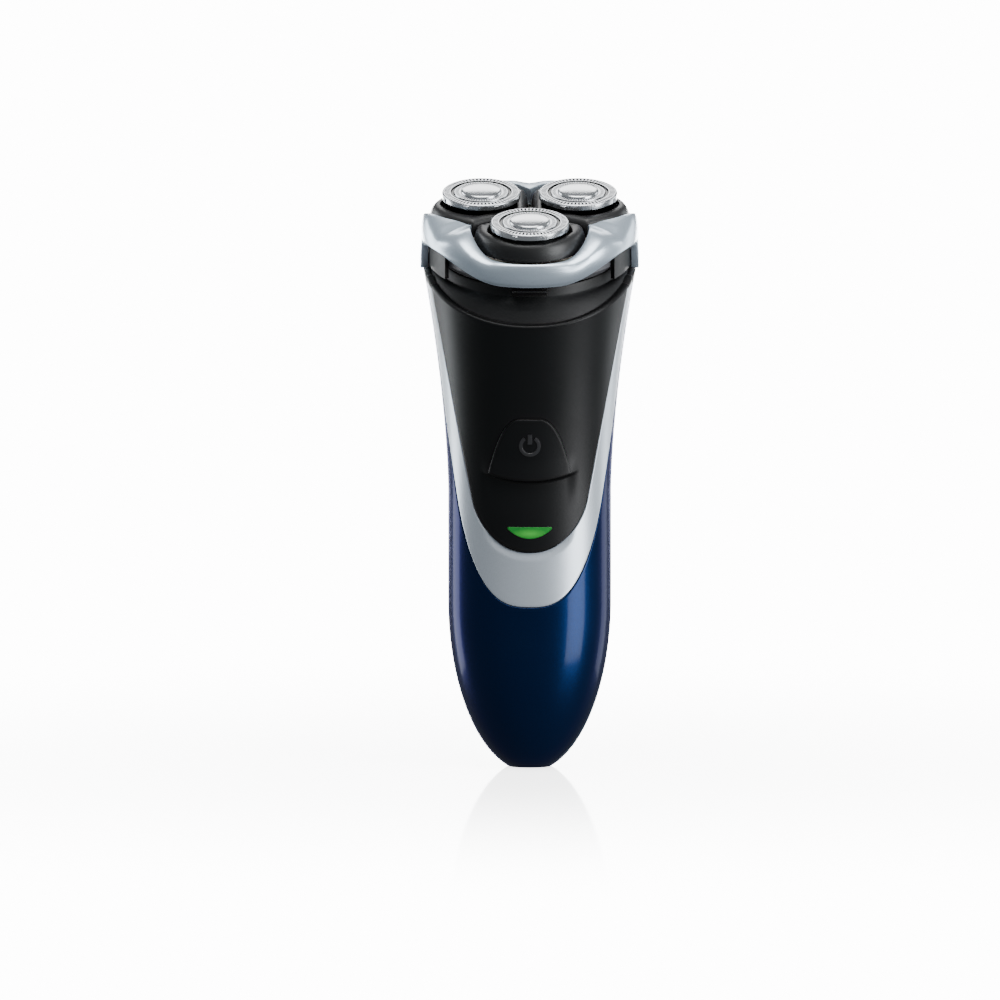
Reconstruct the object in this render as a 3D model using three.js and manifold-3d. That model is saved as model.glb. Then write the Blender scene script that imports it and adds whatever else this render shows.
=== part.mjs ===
// A cordless rotary electric shaver as the assembly it is: housing shells, drive, shaving unit and trimmer.
// Millimetres. +X is the user's right when facing the front, -Y is the front, +Z runs up the handle.
// The origin is the centre of the flat foot that the handle stands on.
import * as THREE from "three";
import { mergeVertices } from "three/addons/utils/BufferGeometryUtils.js";
import Module from "manifold-3d";

const wasm = await Module();
wasm.setup();

// ---- driving dimensions ----
const GAP = 0.3; // clearance left between neighbouring pieces
const WALL = 1.8; // thickness of the housing shells

const HANDLE_HALF_WIDTH = 22;
const HANDLE_HALF_DEPTH = 17.5;
const BELLY_Z = 45; // below this height the handle narrows towards the foot
const FOOT_CUT = 1.59; // how much of the rounded end the flat foot cuts away
const FOOT_SQUARENESS = 3.2; // higher makes the foot deeper from front to back
const FLARE_START_Z = 75; // above this height the handle widens towards the head
const FLARE_END_Z = 136;
const FLARE_POWER = 1.6;
const FLARE = { side: 6.9, front: 14, back: 8, centre: 2.5 };
const SECTION_POWER = 2.1; // superellipse exponent of the handle's cross-section
const LOFT_TOP_Z = 152;

const PANEL = { bottom: 59.4, round: 14, power: 2.3, halfAtRef: 17.1, refZ: 81.1, slope: 0.192 };
const BAND = { bottom: 44.6, round: 58, power: 2.8, share: 0.985 };

const HEAD_TILT = THREE.MathUtils.degToRad(17);
const HEAD_CENTRE = new THREE.Vector3(0, -2, 153); // middle of the three caps, in their plane
const CAP_CIRCLE = 15.1; // radius of the circle through the cap centres
const CAP_AZIMUTHS = [-90, 30, 150];
const CAP_RADIUS = 10.6;
const PETAL_TOP = -2.5;
const PETAL_BOTTOM = -7.4;
const LOBE = { centre: 12, radius: 15.5 }; // each petal's outer edge is an arc about a point near its cap
const SEAM_REACH = THREE.MathUtils.degToRad(60); // from a petal's middle to the seam beside it
const RING = {
  radius: 29.7, bore: 27.8, narrowing: 0.05, low: -7.3, rise: 4.6, frontRise: [20, 50], rearRise: [5, 38],
  skirt: -14, tab: -17.6, tabHalf: 9, arch: 5.4, archReach: 46, clear: 0.65,
};
const ARCHES = [29, 151, 209, 331]; // azimuths at which the ring's lower edge arches up
const CHAMBER_RADIUS = 26.2;
const CHAMBER_FLOOR = -15;
const HINGE = { v: 25.5, w: -17.2, radius: 2, pin: 0.9 };

const MOTOR = { radius: 7, bore: 5.1, flat: 5.6, crown: 1.6, shaft: 0.8, bottom: -38, top: -25.6 };
const PINION_TEETH = 16;
const GEAR_TEETH = 24;
const GEAR_MODULE = (2 * CAP_CIRCLE) / (PINION_TEETH + GEAR_TEETH);
const GEAR_BOTTOM = -24;
const GEAR_TOP = -21.8;
const SPINDLE_RADIUS = 1.9;
const SPINDLE_TIP = -7;

const BUTTON = { foot: 11, footZ: 80.7, dip: 2.1, top: 2.7, topZ: 95.5, travel: 0.6 };
const LENS = { half: 6, top: 66.3, corner: 65.7, dip: 2.6 };
const SOCKET = { halfWidth: 5.25, front: 5.2, back: 11.7, top: 17, wall: 1.3 };
const BOARD = { halfWidth: 13, front: -9.6, back: -8.4, bottom: 50, top: 104 };
const CHASSIS = { halfWidth: 16, front: -4.6, back: -3.4, bottom: 26, top: 98 };
const BATTERY = { radius: 7, y: 5.5, bottom: 34, top: 82 };
const SCREWS = [[-12.5, 32], [12.5, 32], [-12.5, 92], [12.5, 92]]; // x and z of the chassis screws

const TRIMMER_TILT = THREE.MathUtils.degToRad(12.7);
const TRIMMER_Z = 119;
const SLIDE = { z: 97, half: 6, stem: 2, tilt: THREE.MathUtils.degToRad(8.5) };
const TRAY = { half: 14, bottom: -12.8, top: 13 };
const TRIMMER = { half: 12.1, axisY: -2.9, axisZ: 8.2, barrel: 1.5, pin: 0.7, depth: 5.7 };

// ---- finishes ----
function finish(color, roughness, metalness) {
  return new THREE.MeshStandardMaterial({ color, roughness, metalness });
}
const BLUE = () => finish(0x123a70, 0.22, 0);
const SILVER = () => finish(0xaab1b9, 0.32, 0.6);
const BLACK_GLOSS = () => finish(0x111112, 0.25, 0);
const BLACK = () => finish(0x232325, 0.5, 0);
const GREY = () => finish(0x6c6e70, 0.6, 0);
const STEEL = () => finish(0xc9ccce, 0.2, 1);
const BRASS = () => finish(0xb8964e, 0.35, 1);
const NYLON = () => finish(0xd8d6cc, 0.55, 0);
const GREEN_LENS = () => finish(0x2fae3c, 0.2, 0);
const GREEN_BOARD = () => finish(0x1d5a34, 0.5, 0);
const CELL_WRAP = () => finish(0x8fb7c9, 0.4, 0);

// ---- solids: three.js geometry turned into closed bodies that can be joined and cut ----
function bodyFrom(positions, triangles) {
  return new wasm.Manifold(new wasm.Mesh({ numProp: 3, vertProperties: positions, triVerts: triangles }));
}

function solid(geometry) {
  const bare = geometry.clone();
  bare.deleteAttribute("normal");
  bare.deleteAttribute("uv");
  const merged = mergeVertices(bare, 1e-3);
  const corners = [];
  for (let i = 0; i < merged.index.count; i += 3) {
    const [a, b, c] = [0, 1, 2].map((k) => merged.index.getX(i + k));
    if (a !== b && b !== c && c !== a) corners.push([a, b, c]);
  }
  const positions = merged.attributes.position.array;
  const outward = bodyFrom(positions, new Uint32Array(corners.flat()));
  if (outward.volume() > 0) return outward;
  return bodyFrom(positions, new Uint32Array(corners.map(([a, b, c]) => [a, c, b]).flat()));
}

function geometryOf(body) {
  const mesh = body.getMesh();
  const positions = new Float32Array(mesh.numVert * 3);
  for (let i = 0; i < mesh.numVert; i++) {
    positions.set(mesh.vertProperties.subarray(i * mesh.numProp, i * mesh.numProp + 3), i * 3);
  }
  const geometry = new THREE.BufferGeometry();
  geometry.setAttribute("position", new THREE.BufferAttribute(positions, 3));
  geometry.setIndex(new THREE.BufferAttribute(new Uint32Array(mesh.triVerts), 1));
  geometry.computeVertexNormals();
  return geometry;
}

function block([x0, x1], [y0, y1], [z0, z1], matrix) {
  const geometry = new THREE.BoxGeometry(x1 - x0, y1 - y0, z1 - z0);
  geometry.translate((x0 + x1) / 2, (y0 + y1) / 2, (z0 + z1) / 2);
  if (matrix) geometry.applyMatrix4(matrix);
  return solid(geometry);
}

function rodZ(radius, [z0, z1], [x, y] = [0, 0], sides = 32, matrix) {
  const geometry = new THREE.CylinderGeometry(radius, radius, z1 - z0, sides);
  geometry.rotateX(Math.PI / 2);
  geometry.translate(x, y, (z0 + z1) / 2);
  if (matrix) geometry.applyMatrix4(matrix);
  return solid(geometry);
}

function rodX(radius, [x0, x1], [y, z], sides = 20, matrix) {
  const geometry = new THREE.CylinderGeometry(radius, radius, x1 - x0, sides);
  geometry.rotateZ(Math.PI / 2);
  geometry.translate((x0 + x1) / 2, y, z);
  if (matrix) geometry.applyMatrix4(matrix);
  return solid(geometry);
}

function rodY(radius, [y0, y1], [x, z], sides = 16) {
  const geometry = new THREE.CylinderGeometry(radius, radius, y1 - y0, sides);
  geometry.translate(x, (y0 + y1) / 2, z);
  return solid(geometry);
}

// An outline of [x, y] points as a plate between two heights.
function plate(outline, [z0, z1], holes = []) {
  const shape = new THREE.Shape(outline.map(([x, y]) => new THREE.Vector2(x, y)));
  for (const [x, y, radius] of holes) {
    shape.holes.push(new THREE.Path().absarc(x, y, radius, 0, 2 * Math.PI, true));
  }
  const depth = z1 - z0;
  const geometry = new THREE.ExtrudeGeometry(shape, { depth, bevelEnabled: false, curveSegments: 16 });
  geometry.translate(0, 0, z0);
  return solid(geometry);
}

// An outline of [x, z] points seen from the front, extruded from y0 back to y1.
function frontPrism(outline, [y0, y1]) {
  const shape = new THREE.Shape(outline.map(([x, z]) => new THREE.Vector2(x, z)));
  const geometry = new THREE.ExtrudeGeometry(shape, { depth: y1 - y0, bevelEnabled: false });
  geometry.rotateX(Math.PI / 2);
  geometry.translate(0, y1, 0);
  return solid(geometry);
}

function turned(profile, segments = 32) {
  const geometry = new THREE.LatheGeometry(profile.map(([r, h]) => new THREE.Vector2(r, h)), segments);
  geometry.rotateX(Math.PI / 2);
  return solid(geometry);
}

// A lathe whose rows are placed one by one: place(row, angle) gives each vertex.
function woven(rows, segments, place) {
  const profile = Array.from({ length: rows }, (_, row) => new THREE.Vector2(1, row));
  const geometry = new THREE.LatheGeometry(profile, segments);
  const position = geometry.attributes.position;
  for (let step = 0; step <= segments; step++) {
    const angle = ((step % segments) / segments) * 2 * Math.PI;
    for (let row = 0; row < rows; row++) {
      position.setXYZ(step * rows + row, ...place(row, angle));
    }
  }
  return solid(geometry);
}

// ---- the handle's outer surface ----
function flare(z) {
  return Math.max(0, (z - FLARE_START_Z) / (FLARE_END_Z - FLARE_START_Z)) ** FLARE_POWER;
}

function section(z) {
  const drop = Math.max(0, BELLY_Z - z) / (BELLY_Z + FOOT_CUT);
  const widen = flare(z);
  return {
    side: HANDLE_HALF_WIDTH * Math.sqrt(1 - drop ** 2) + FLARE.side * widen,
    front: HANDLE_HALF_DEPTH * Math.sqrt(1 - drop ** FOOT_SQUARENESS) + FLARE.front * widen,
    back: HANDLE_HALF_DEPTH * Math.sqrt(1 - drop ** FOOT_SQUARENESS) + FLARE.back * widen,
    centre: FLARE.centre * widen,
  };
}

function surfacePoint(angle, z, inset) {
  const { side, front, back, centre } = section(z);
  const power = 2 / SECTION_POWER;
  const across = Math.sign(Math.cos(angle)) * Math.abs(Math.cos(angle)) ** power;
  const along = Math.sign(Math.sin(angle)) * Math.abs(Math.sin(angle)) ** power;
  const depth = along < 0 ? front : back;
  return [(side - inset) * across, centre + (depth - inset) * along, z];
}

function handleSolid(inset, bottom) {
  const rows = 17;
  return woven(rows + 1, 40, (row, angle) => {
    const level = Math.min(Math.max(row - 1, 0), rows - 2) / (rows - 2);
    const z = bottom + (LOFT_TOP_Z - bottom) * level ** 1.6;
    if (row === 0 || row === rows) return [0, 0, z];
    return surfacePoint(angle, z, inset);
  });
}

// Height of the housing's top rim, which slopes down towards the front.
function rimZ(y) {
  return 134.6 + 0.42 * y - 0.0052 * y * y;
}

// The point of the rim at an angle round the handle, moved down by a drop.
function rimPoint(angle, inset, drop) {
  let z = rimZ(0);
  for (let pass = 0; pass < 4; pass++) z = rimZ(surfacePoint(angle, z, inset)[1]) - drop;
  return surfacePoint(angle, z, inset);
}

// Turns an outline drawn as [y, z] with its depth along Z into place, with its depth along X.
const sideView = new THREE.Matrix4().makeBasis(
  new THREE.Vector3(0, 1, 0),
  new THREE.Vector3(0, 0, 1),
  new THREE.Vector3(1, 0, 0),
);

function aboveRim() {
  const reach = 40;
  const steps = 16;
  const outline = Array.from({ length: steps + 1 }, (_, i) => {
    const y = -reach + (2 * reach * i) / steps;
    return new THREE.Vector2(y, rimZ(y));
  });
  outline.push(new THREE.Vector2(reach, 180), new THREE.Vector2(-reach, 180));
  const shape = new THREE.Shape(outline);
  const geometry = new THREE.ExtrudeGeometry(shape, { depth: 2 * reach, bevelEnabled: false });
  geometry.applyMatrix4(sideView);
  geometry.translate(-reach, 0, 0);
  return solid(geometry);
}

// ---- front outlines ----
function roundedStart(z, bottom, round, power) {
  const rise = Math.min(Math.max((z - bottom) / round, 0), 1);
  return (1 - (1 - rise) ** 2) ** (1 / power);
}

function panelHalf(z) {
  const straight = PANEL.halfAtRef + PANEL.slope * (z - PANEL.refZ);
  return straight * roundedStart(z, PANEL.bottom, PANEL.round, PANEL.power);
}

function bandHalf(z) {
  return BAND.share * section(z).side * roundedStart(z, BAND.bottom, BAND.round, BAND.power);
}

// A U outline seen from the front, grown outwards by a margin.
function frontOutline(half, bottom, margin) {
  const steps = 18;
  const right = [];
  for (let i = 1; i <= steps; i++) {
    const z = bottom + (LOFT_TOP_Z + 2 - bottom) * (i / steps) ** 2.2;
    right.push([half(z) + margin, z]);
  }
  const left = right.map(([x, z]) => [-x, z]).reverse();
  return [[0, bottom - margin], ...right, ...left];
}

function buttonOutline(margin) {
  const steps = 8;
  const curve = new THREE.CubicBezierCurve(
    new THREE.Vector2(BUTTON.foot + margin, BUTTON.footZ - margin),
    new THREE.Vector2(9.6 + margin, BUTTON.footZ + 6.5),
    new THREE.Vector2(7.2 + margin, BUTTON.topZ + margin),
    new THREE.Vector2(BUTTON.top, BUTTON.topZ + margin),
  );
  const right = curve.getPoints(steps).map((p) => [p.x, p.y]);
  const left = right.map(([x, z]) => [-x, z]).reverse();
  return [[0, BUTTON.footZ - BUTTON.dip - margin], ...right, ...left];
}

function lensOutline(margin) {
  const half = LENS.half + margin;
  const steps = 10;
  const arc = Array.from({ length: steps + 1 }, (_, i) => {
    const x = -half + (2 * half * i) / steps;
    return [x, LENS.corner - (LENS.dip + margin) * (1 - (x / half) ** 2) - margin * 0.5];
  });
  return [...arc, [half, LENS.top + margin], [-half, LENS.top + margin]];
}

// ---- frames of the head and of the trimmer ----
const headMatrix = new THREE.Matrix4().makeRotationX(HEAD_TILT).setPosition(HEAD_CENTRE);
const trimmerBack = section(TRIMMER_Z).centre + section(TRIMMER_Z).back;
const trimmerMatrix = new THREE.Matrix4()
  .makeRotationX(-TRIMMER_TILT)
  .setPosition(0, trimmerBack, TRIMMER_Z);

function capCentre(azimuth) {
  const angle = THREE.MathUtils.degToRad(azimuth);
  return [CAP_CIRCLE * Math.cos(angle), CAP_CIRCLE * Math.sin(angle)];
}

// A bump that is 1 at zero distance and falls smoothly to 0 at a reach, in degrees.
function bump(distance, reach) {
  return distance < reach ? Math.cos((Math.PI / 2) * (distance / reach)) ** 2 : 0;
}

function degreesBetween(a, b) {
  return Math.abs(((a - b + 540) % 360) - 180);
}

// ---- housing ----
const outer = handleSolid(0, 0);
const proud = handleSolid(-0.4, 0);
const shell = outer.subtract(handleSolid(WALL, WALL)).subtract(aboveRim());
const FRONT = [-60, 0];

function socketBlock(margin) {
  const { halfWidth, front, back, top, wall } = SOCKET;
  const reach = wall + margin;
  return block([-halfWidth - reach, halfWidth + reach], [front - reach, back + reach], [-1, top + reach]);
}

function trimmerTray(margin) {
  const across = TRAY.half + margin;
  const along = [TRAY.bottom - margin, TRAY.top + margin];
  return block([-across, across], [-TRIMMER.depth - margin, 6], along, trimmerMatrix);
}

const slideMatrix = new THREE.Matrix4()
  .makeRotationX(-SLIDE.tilt)
  .setPosition(0, section(SLIDE.z).centre + section(SLIDE.z).back, SLIDE.z);

function rearHousing() {
  let body = shell.subtract(frontPrism(frontOutline(bandHalf, BAND.bottom, GAP), [FRONT[0], FRONT[1] + GAP]));
  for (const [x, z] of SCREWS) {
    body = body.add(rodY(2.6, [CHASSIS.back + GAP, 16], [x, z]).intersect(outer));
    body = body.subtract(rodY(1.25, [CHASSIS.front, 6], [x, z]));
  }
  body = body.subtract(socketBlock(GAP)).subtract(trimmerTray(GAP));
  body = body.subtract(block([-8.4, 8.4], [22, 34], [-20, -10], headMatrix));
  return body.subtract(block([-2.4, 2.4], [-6, 4], [-7, 3], slideMatrix));
}

function trimBand() {
  const band = shell.intersect(frontPrism(frontOutline(bandHalf, BAND.bottom, 0), FRONT));
  return band.subtract(frontPrism(frontOutline(panelHalf, PANEL.bottom, GAP), [FRONT[0], 5]));
}

function frontPanel() {
  const panel = shell.intersect(frontPrism(frontOutline(panelHalf, PANEL.bottom, 0), FRONT));
  const holes = frontPrism(buttonOutline(GAP), [-40, 0]).add(frontPrism(lensOutline(GAP), [-40, 0]));
  return panel.subtract(holes);
}

function topDeck() {
  const ring = (radius, w) => (angle) => {
    const point = new THREE.Vector3(radius * Math.cos(angle), radius * Math.sin(angle), w);
    return point.applyMatrix4(headMatrix).toArray();
  };
  const rim = (inset, drop) => (angle) => rimPoint(angle, inset, drop);
  const fit = WALL + GAP;
  const rows = [
    ring(0, -15.6), ring(23.5, -15.6), ring(24.5, -18.5), rim(fit, 0), rim(fit, 3),
    rim(fit + 1.4, 3), rim(fit + 1.4, 1), ring(23, -19.4), ring(22, -17.1), ring(0, -17.1),
  ];
  let deck = woven(rows.length, 40, (row, angle) => rows[row](angle));
  for (const side of [-1, 1]) {
    const [near, far] = [4.6 * side, 8 * side].sort((a, b) => a - b);
    deck = deck.add(rodX(HINGE.radius, [near, far], [HINGE.v, HINGE.w], 20, headMatrix));
    deck = deck.add(block([near, far], [HINGE.v - 3, HINGE.v + 0.6], [-19, HINGE.w], headMatrix));
  }
  deck = deck.subtract(block([-4.6, 4.6], [HINGE.v - 2.7, 34], [-19.8, -10], headMatrix));
  deck = deck.subtract(rodX(HINGE.pin + 0.2, [-9, 9], [HINGE.v, HINGE.w], 16, headMatrix));
  for (const azimuth of CAP_AZIMUTHS) {
    deck = deck.subtract(rodZ(SPINDLE_RADIUS + 0.6, [-21, -12], capCentre(azimuth), 20, headMatrix));
  }
  return deck.subtract(releaseBlock(GAP));
}

// ---- release button at the front, under the head ----
function releaseBlock(margin) {
  return block([-4.7 - margin, 4.7 + margin], [-25.4 - margin, -17], [126.6 - margin, 130.5 + margin]);
}

function releaseButton() {
  const side = [[-24.9, 130.5], [-24.9, 129.8], [-20.6, 126.6], [-19.2, 126.6], [-19.2, 130.5]];
  const shape = new THREE.Shape(side.map(([y, z]) => new THREE.Vector2(y, z)));
  const geometry = new THREE.ExtrudeGeometry(shape, { depth: 9.4, bevelEnabled: false });
  geometry.applyMatrix4(sideView);
  geometry.translate(-4.7, 0, 0);
  return solid(geometry).add(block([-3, 3], [-19.4, -16.4], [127.6, 129.4]));
}

// ---- inside the handle ----
function chassis() {
  const { halfWidth, front, back, bottom, top } = CHASSIS;
  let body = block([-halfWidth, halfWidth], [front, back], [bottom, top]);
  for (const z of [BATTERY.bottom - 3, BATTERY.top + 1.4]) {
    body = body.add(block([-8, 8], [back - 0.5, 11], [z, z + 1.4]));
  }
  for (const x of [-10, 10]) {
    for (const z of [58, 78]) body = body.add(rodY(1.8, [BOARD.back + 0.1, front + 0.4], [x, z]));
  }
  for (const [x, z] of SCREWS) body = body.subtract(rodY(1.3, [front - 1, back + 1], [x, z]));
  return body;
}

function circuitBoard() {
  const { halfWidth, front, back, bottom, top } = BOARD;
  return block([-halfWidth, halfWidth], [front, back], [bottom, top]);
}

function chassisScrew([x, z]) {
  const head = rodY(2.2, [CHASSIS.front - 1.5, CHASSIS.front - 0.1], [x, z]);
  const shank = rodY(1, [CHASSIS.front - 0.3, 5], [x, z], 12);
  const slot = block([x - 1.6, x + 1.6], [CHASSIS.front - 2, CHASSIS.front - 1], [z - 0.3, z + 0.3]);
  return head.add(shank).subtract(slot);
}

function battery() {
  const { radius, y, bottom, top } = BATTERY;
  return rodZ(radius, [bottom, top - 1.2], [0, y]).add(rodZ(2.4, [top - 1.3, top], [0, y], 16));
}

function inletSocket() {
  const { halfWidth, front, back, top } = SOCKET;
  const mouth = block([-halfWidth, halfWidth], [front, back], [-5, top - 1]);
  let body = socketBlock(0).intersect(outer).subtract(mouth);
  for (const x of [-2.2, 2.2]) body = body.subtract(rodZ(1, [top - 2, top + 4], [x, (front + back) / 2], 12));
  return body;
}

function inletPin(x) {
  return rodZ(0.7, [11, SOCKET.top + 3.4], [x, (SOCKET.front + SOCKET.back) / 2], 12);
}

// ---- drive ----
function gearOutline(teeth, phase) {
  const pitch = (GEAR_MODULE * teeth) / 2;
  const step = (2 * Math.PI) / teeth;
  const corners = [
    [-0.3, pitch - 1.15 * GEAR_MODULE], [-0.12, pitch + 0.62 * GEAR_MODULE],
    [0.12, pitch + 0.62 * GEAR_MODULE], [0.3, pitch - 1.15 * GEAR_MODULE],
  ];
  const outline = [];
  for (let tooth = 0; tooth < teeth; tooth++) {
    for (const [share, radius] of corners) {
      const angle = phase + (tooth + share) * step;
      outline.push([radius * Math.cos(angle), radius * Math.sin(angle)]);
    }
  }
  return outline;
}

// The turn that puts a gear's gap where a tooth of the pinion points.
function gearPhase(azimuth) {
  const angle = THREE.MathUtils.degToRad(azimuth);
  const pinionStep = (2 * Math.PI) / PINION_TEETH;
  const share = angle / pinionStep - Math.floor(angle / pinionStep);
  return angle + Math.PI + (share + 0.5) * ((2 * Math.PI) / GEAR_TEETH);
}

function driveGear(azimuth) {
  return plate(gearOutline(GEAR_TEETH, gearPhase(azimuth)), [GEAR_BOTTOM, GEAR_TOP], [[0, 0, 1.5]]);
}

function driveSpindle() {
  const shaft = rodZ(1.2, [GEAR_BOTTOM - 1, -19], [0, 0], 16);
  const cup = rodZ(SPINDLE_RADIUS, [-20.2, SPINDLE_TIP - 2], [0, 0], 20);
  return shaft.add(cup).add(block([-1.5, 1.5], [-0.6, 0.6], [SPINDLE_TIP - 2.1, SPINDLE_TIP]));
}

function motorCan() {
  const { radius, bore, bottom, top, crown, flat, shaft } = MOTOR;
  let can = rodZ(radius, [bottom, top]).subtract(rodZ(bore, [bottom - 1, top - crown]));
  can = can.subtract(rodZ(shaft + GAP, [bottom, top + 1], [0, 0], 16));
  for (const side of [-1, 1]) {
    const cut = [side * flat, side * (radius + 2)].sort((a, b) => a - b);
    can = can.subtract(block(cut, [-9, 9], [bottom - 1, top + 1]));
  }
  return can;
}

// The wound rotor, on the lower half of the motor's shaft.
function motorArmature() {
  const { bore, bottom, top, shaft } = MOTOR;
  const core = rodZ(bore - GAP, [bottom + 2.4, top - 2.8]);
  return core.add(rodZ(shaft, [bottom - 0.4, bottom + 3], [0, 0], 12));
}

function motorEndCap() {
  const { bore, bottom, shaft } = MOTOR;
  const hole = rodZ(shaft + GAP, [bottom - 1, bottom + 3], [0, 0], 16);
  return rodZ(bore - GAP, [bottom, bottom + 1.8]).subtract(hole);
}

function motorPinion() {
  const pinion = plate(gearOutline(PINION_TEETH, 0), [GEAR_BOTTOM, GEAR_TOP]);
  return pinion.add(rodZ(MOTOR.shaft, [MOTOR.top - 2.5, GEAR_BOTTOM + 0.5], [0, 0], 12));
}

function gearPlate() {
  let body = rodZ(17.5, [-25.3, -24.3], [0, 0], 36).subtract(rodZ(3.2, [-30, -20], [0, 0], 16));
  body = body.subtract(block([-20, 20], [13.5, 20], [-30, -20]));
  for (const azimuth of CAP_AZIMUTHS) body = body.subtract(rodZ(1.5, [-30, -20], capCentre(azimuth), 12));
  return body;
}

// ---- shaving unit: ring, chamber, frame, wheel and hinge pin ----
// The ring's outer radius, which narrows towards its top.
function ringRadius(w) {
  return RING.radius - Math.max(0, RING.narrowing * (w - RING.skirt));
}

// The ring's inner top edge follows the petals: low at a petal's middle, high and far in at a seam.
// It stays low for longer round the front petal than round the two rear ones.
function ringTop(offPetal, atFront) {
  const [start, end] = atFront ? RING.frontRise : RING.rearRise;
  const rise = THREE.MathUtils.smoothstep(offPetal, start, end);
  return RING.low + RING.rise * rise - 0.5 * THREE.MathUtils.smoothstep(offPetal, 50, 60);
}

function lobeRadius(turn) {
  const along = LOBE.centre * Math.cos(turn);
  return along + Math.sqrt(along ** 2 - LOBE.centre ** 2 + LOBE.radius ** 2);
}

function shavingFrame() {
  const { radius, bore, low, skirt, tab, tabHalf, arch, archReach, clear } = RING;
  const loop = (angle) => {
    const degrees = THREE.MathUtils.radToDeg(angle);
    const offPetal = Math.min(...CAP_AZIMUTHS.map((azimuth) => degreesBetween(degrees, azimuth)));
    const offArch = Math.min(...ARCHES.map((azimuth) => degreesBetween(degrees, azimuth)));
    const onTab = Math.min(degreesBetween(degrees, 0), degreesBetween(degrees, 180)) < tabHalf;
    const top = ringTop(offPetal, degreesBetween(degrees, CAP_AZIMUTHS[0]) <= 60);
    const bottom = onTab ? tab : skirt + arch * bump(offArch, archReach);
    const inner = lobeRadius(THREE.MathUtils.degToRad(offPetal)) + clear;
    const shoulder = Math.min(low, top - 2.4);
    const lean = radius - 0.8 - inner;
    return [
      [ringRadius(bottom), bottom],
      [ringRadius(-10), Math.max(-10, bottom + 0.6)],
      [ringRadius(low), shoulder],
      [inner + 0.55 * lean, top - 0.32 * (top - shoulder)],
      [inner, top],
      [inner, Math.min(top - 0.8, low - 0.6)],
      [bore, Math.max(-8.6, bottom + 0.4)],
      [bore, bottom],
    ];
  };
  return woven(9, 96, (row, angle) => {
    const [distance, w] = loop(angle)[row % 8];
    return [distance * Math.cos(angle), distance * Math.sin(angle), w];
  });
}

function hairChamber() {
  const top = -8.6;
  const thickness = 1.2;
  const inner = CHAMBER_RADIUS - 1;
  let body = turned([
    [0, CHAMBER_FLOOR], [CHAMBER_RADIUS - 2, CHAMBER_FLOOR], [CHAMBER_RADIUS, CHAMBER_FLOOR + 2],
    [CHAMBER_RADIUS, top], [inner, top], [inner, CHAMBER_FLOOR + 2.6],
    [inner - 1.4, CHAMBER_FLOOR + thickness], [0, CHAMBER_FLOOR + thickness],
  ], 40);
  for (const azimuth of CAP_AZIMUTHS) body = body.subtract(rodZ(4.2, [-20, -10], capCentre(azimuth), 24));
  body = body.add(rodX(HINGE.radius, [-4.2, 4.2], [HINGE.v, HINGE.w]));
  body = body.add(block([-4.2, 4.2], [HINGE.v - 1.6, HINGE.v + 0.4], [HINGE.w, CHAMBER_FLOOR + 2]));
  return body.subtract(rodX(HINGE.pin + 0.2, [-9, 9], [HINGE.v, HINGE.w], 16));
}

function retainingFrame() {
  let body = rodZ(CHAMBER_RADIUS - 1.4, [-10.6, -9.6], [0, 0], 40).subtract(rodZ(2.2, [-12, -8], [0, 0], 20));
  for (const azimuth of CAP_AZIMUTHS) body = body.subtract(rodZ(6.5, [-12, -8], capCentre(azimuth), 28));
  return body;
}

function lockWheel() {
  let body = rodZ(4.4, [-9.3, -7.6], [0, 0], 24).add(rodZ(1.9, [-12, -9.2], [0, 0], 16));
  for (let notch = 0; notch < 6; notch++) {
    const angle = (notch / 6) * 2 * Math.PI;
    body = body.subtract(rodZ(0.8, [-10, -7], [4.6 * Math.cos(angle), 4.6 * Math.sin(angle)], 10));
  }
  return body;
}

// ---- one petal with its cap and cutter, in the frame of the head ----
function petalOutline(azimuth) {
  const steps = 16;
  const seamGap = 0.6; // half the gap along a seam
  const middle = THREE.MathUtils.degToRad(azimuth);
  const tip = seamGap / Math.sin(SEAM_REACH);
  const outline = [[tip * Math.cos(middle), tip * Math.sin(middle)]];
  const last = SEAM_REACH - seamGap / lobeRadius(SEAM_REACH);
  for (let i = 0; i <= steps; i++) {
    const turn = last * ((2 * i) / steps - 1);
    outline.push([lobeRadius(turn) * Math.cos(middle + turn), lobeRadius(turn) * Math.sin(middle + turn)]);
  }
  return outline;
}

function petal(azimuth) {
  const [x, y] = capCentre(azimuth);
  const whole = plate(petalOutline(azimuth), [PETAL_BOTTOM, PETAL_TOP]);
  const hollow = rodZ(9, [PETAL_BOTTOM - 1, PETAL_BOTTOM + 1.5]);
  return whole.subtract(hollow).subtract(rodZ(CAP_RADIUS + 0.7, [-10, 0], [x, y], 36));
}

function shavingCap() {
  return turned([
    [0, -0.7], [10, -0.9], [10, -4.5], [CAP_RADIUS, -4.5], [CAP_RADIUS, -0.5], [10.2, 0],
    [8.3, 0], [8, -0.35], [7.6, -0.35], [7.3, 0], [0, 0],
  ]);
}

function centreCap() {
  return turned([[0, 0.3], [5.5, 0.3], [5.2, 0.6], [3.4, 1], [0, 1.15]], 32);
}

function rotaryCutter() {
  let body = rodZ(9.2, [-3.2, -2.4], [0, 0], 36).add(rodZ(4, [-9.2, -2.5], [0, 0], 24));
  const blades = 12;
  for (let blade = 0; blade < blades; blade++) {
    const lift = new THREE.Matrix4().makeRotationZ((blade / blades) * 2 * Math.PI);
    body = body.add(block([7, 9], [-0.4, 0.4], [-3, -1.3], lift));
  }
  return body.subtract(rodZ(2.9, [-12, -4.4], [0, 0], 20));
}

// ---- pop-up trimmer on the back, in its own tilted frame ----
function trimmerHousing() {
  const pocket = block([-12.4, 12.4], [1 - TRIMMER.depth, 8], [-11.6, 11.8], trimmerMatrix);
  const holes = rodX(TRIMMER.pin + 0.3, [-13.4, 13.4], [TRIMMER.axisY, TRIMMER.axisZ], 12, trimmerMatrix);
  return trimmerTray(0).intersect(outer).subtract(pocket).subtract(holes);
}

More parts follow.
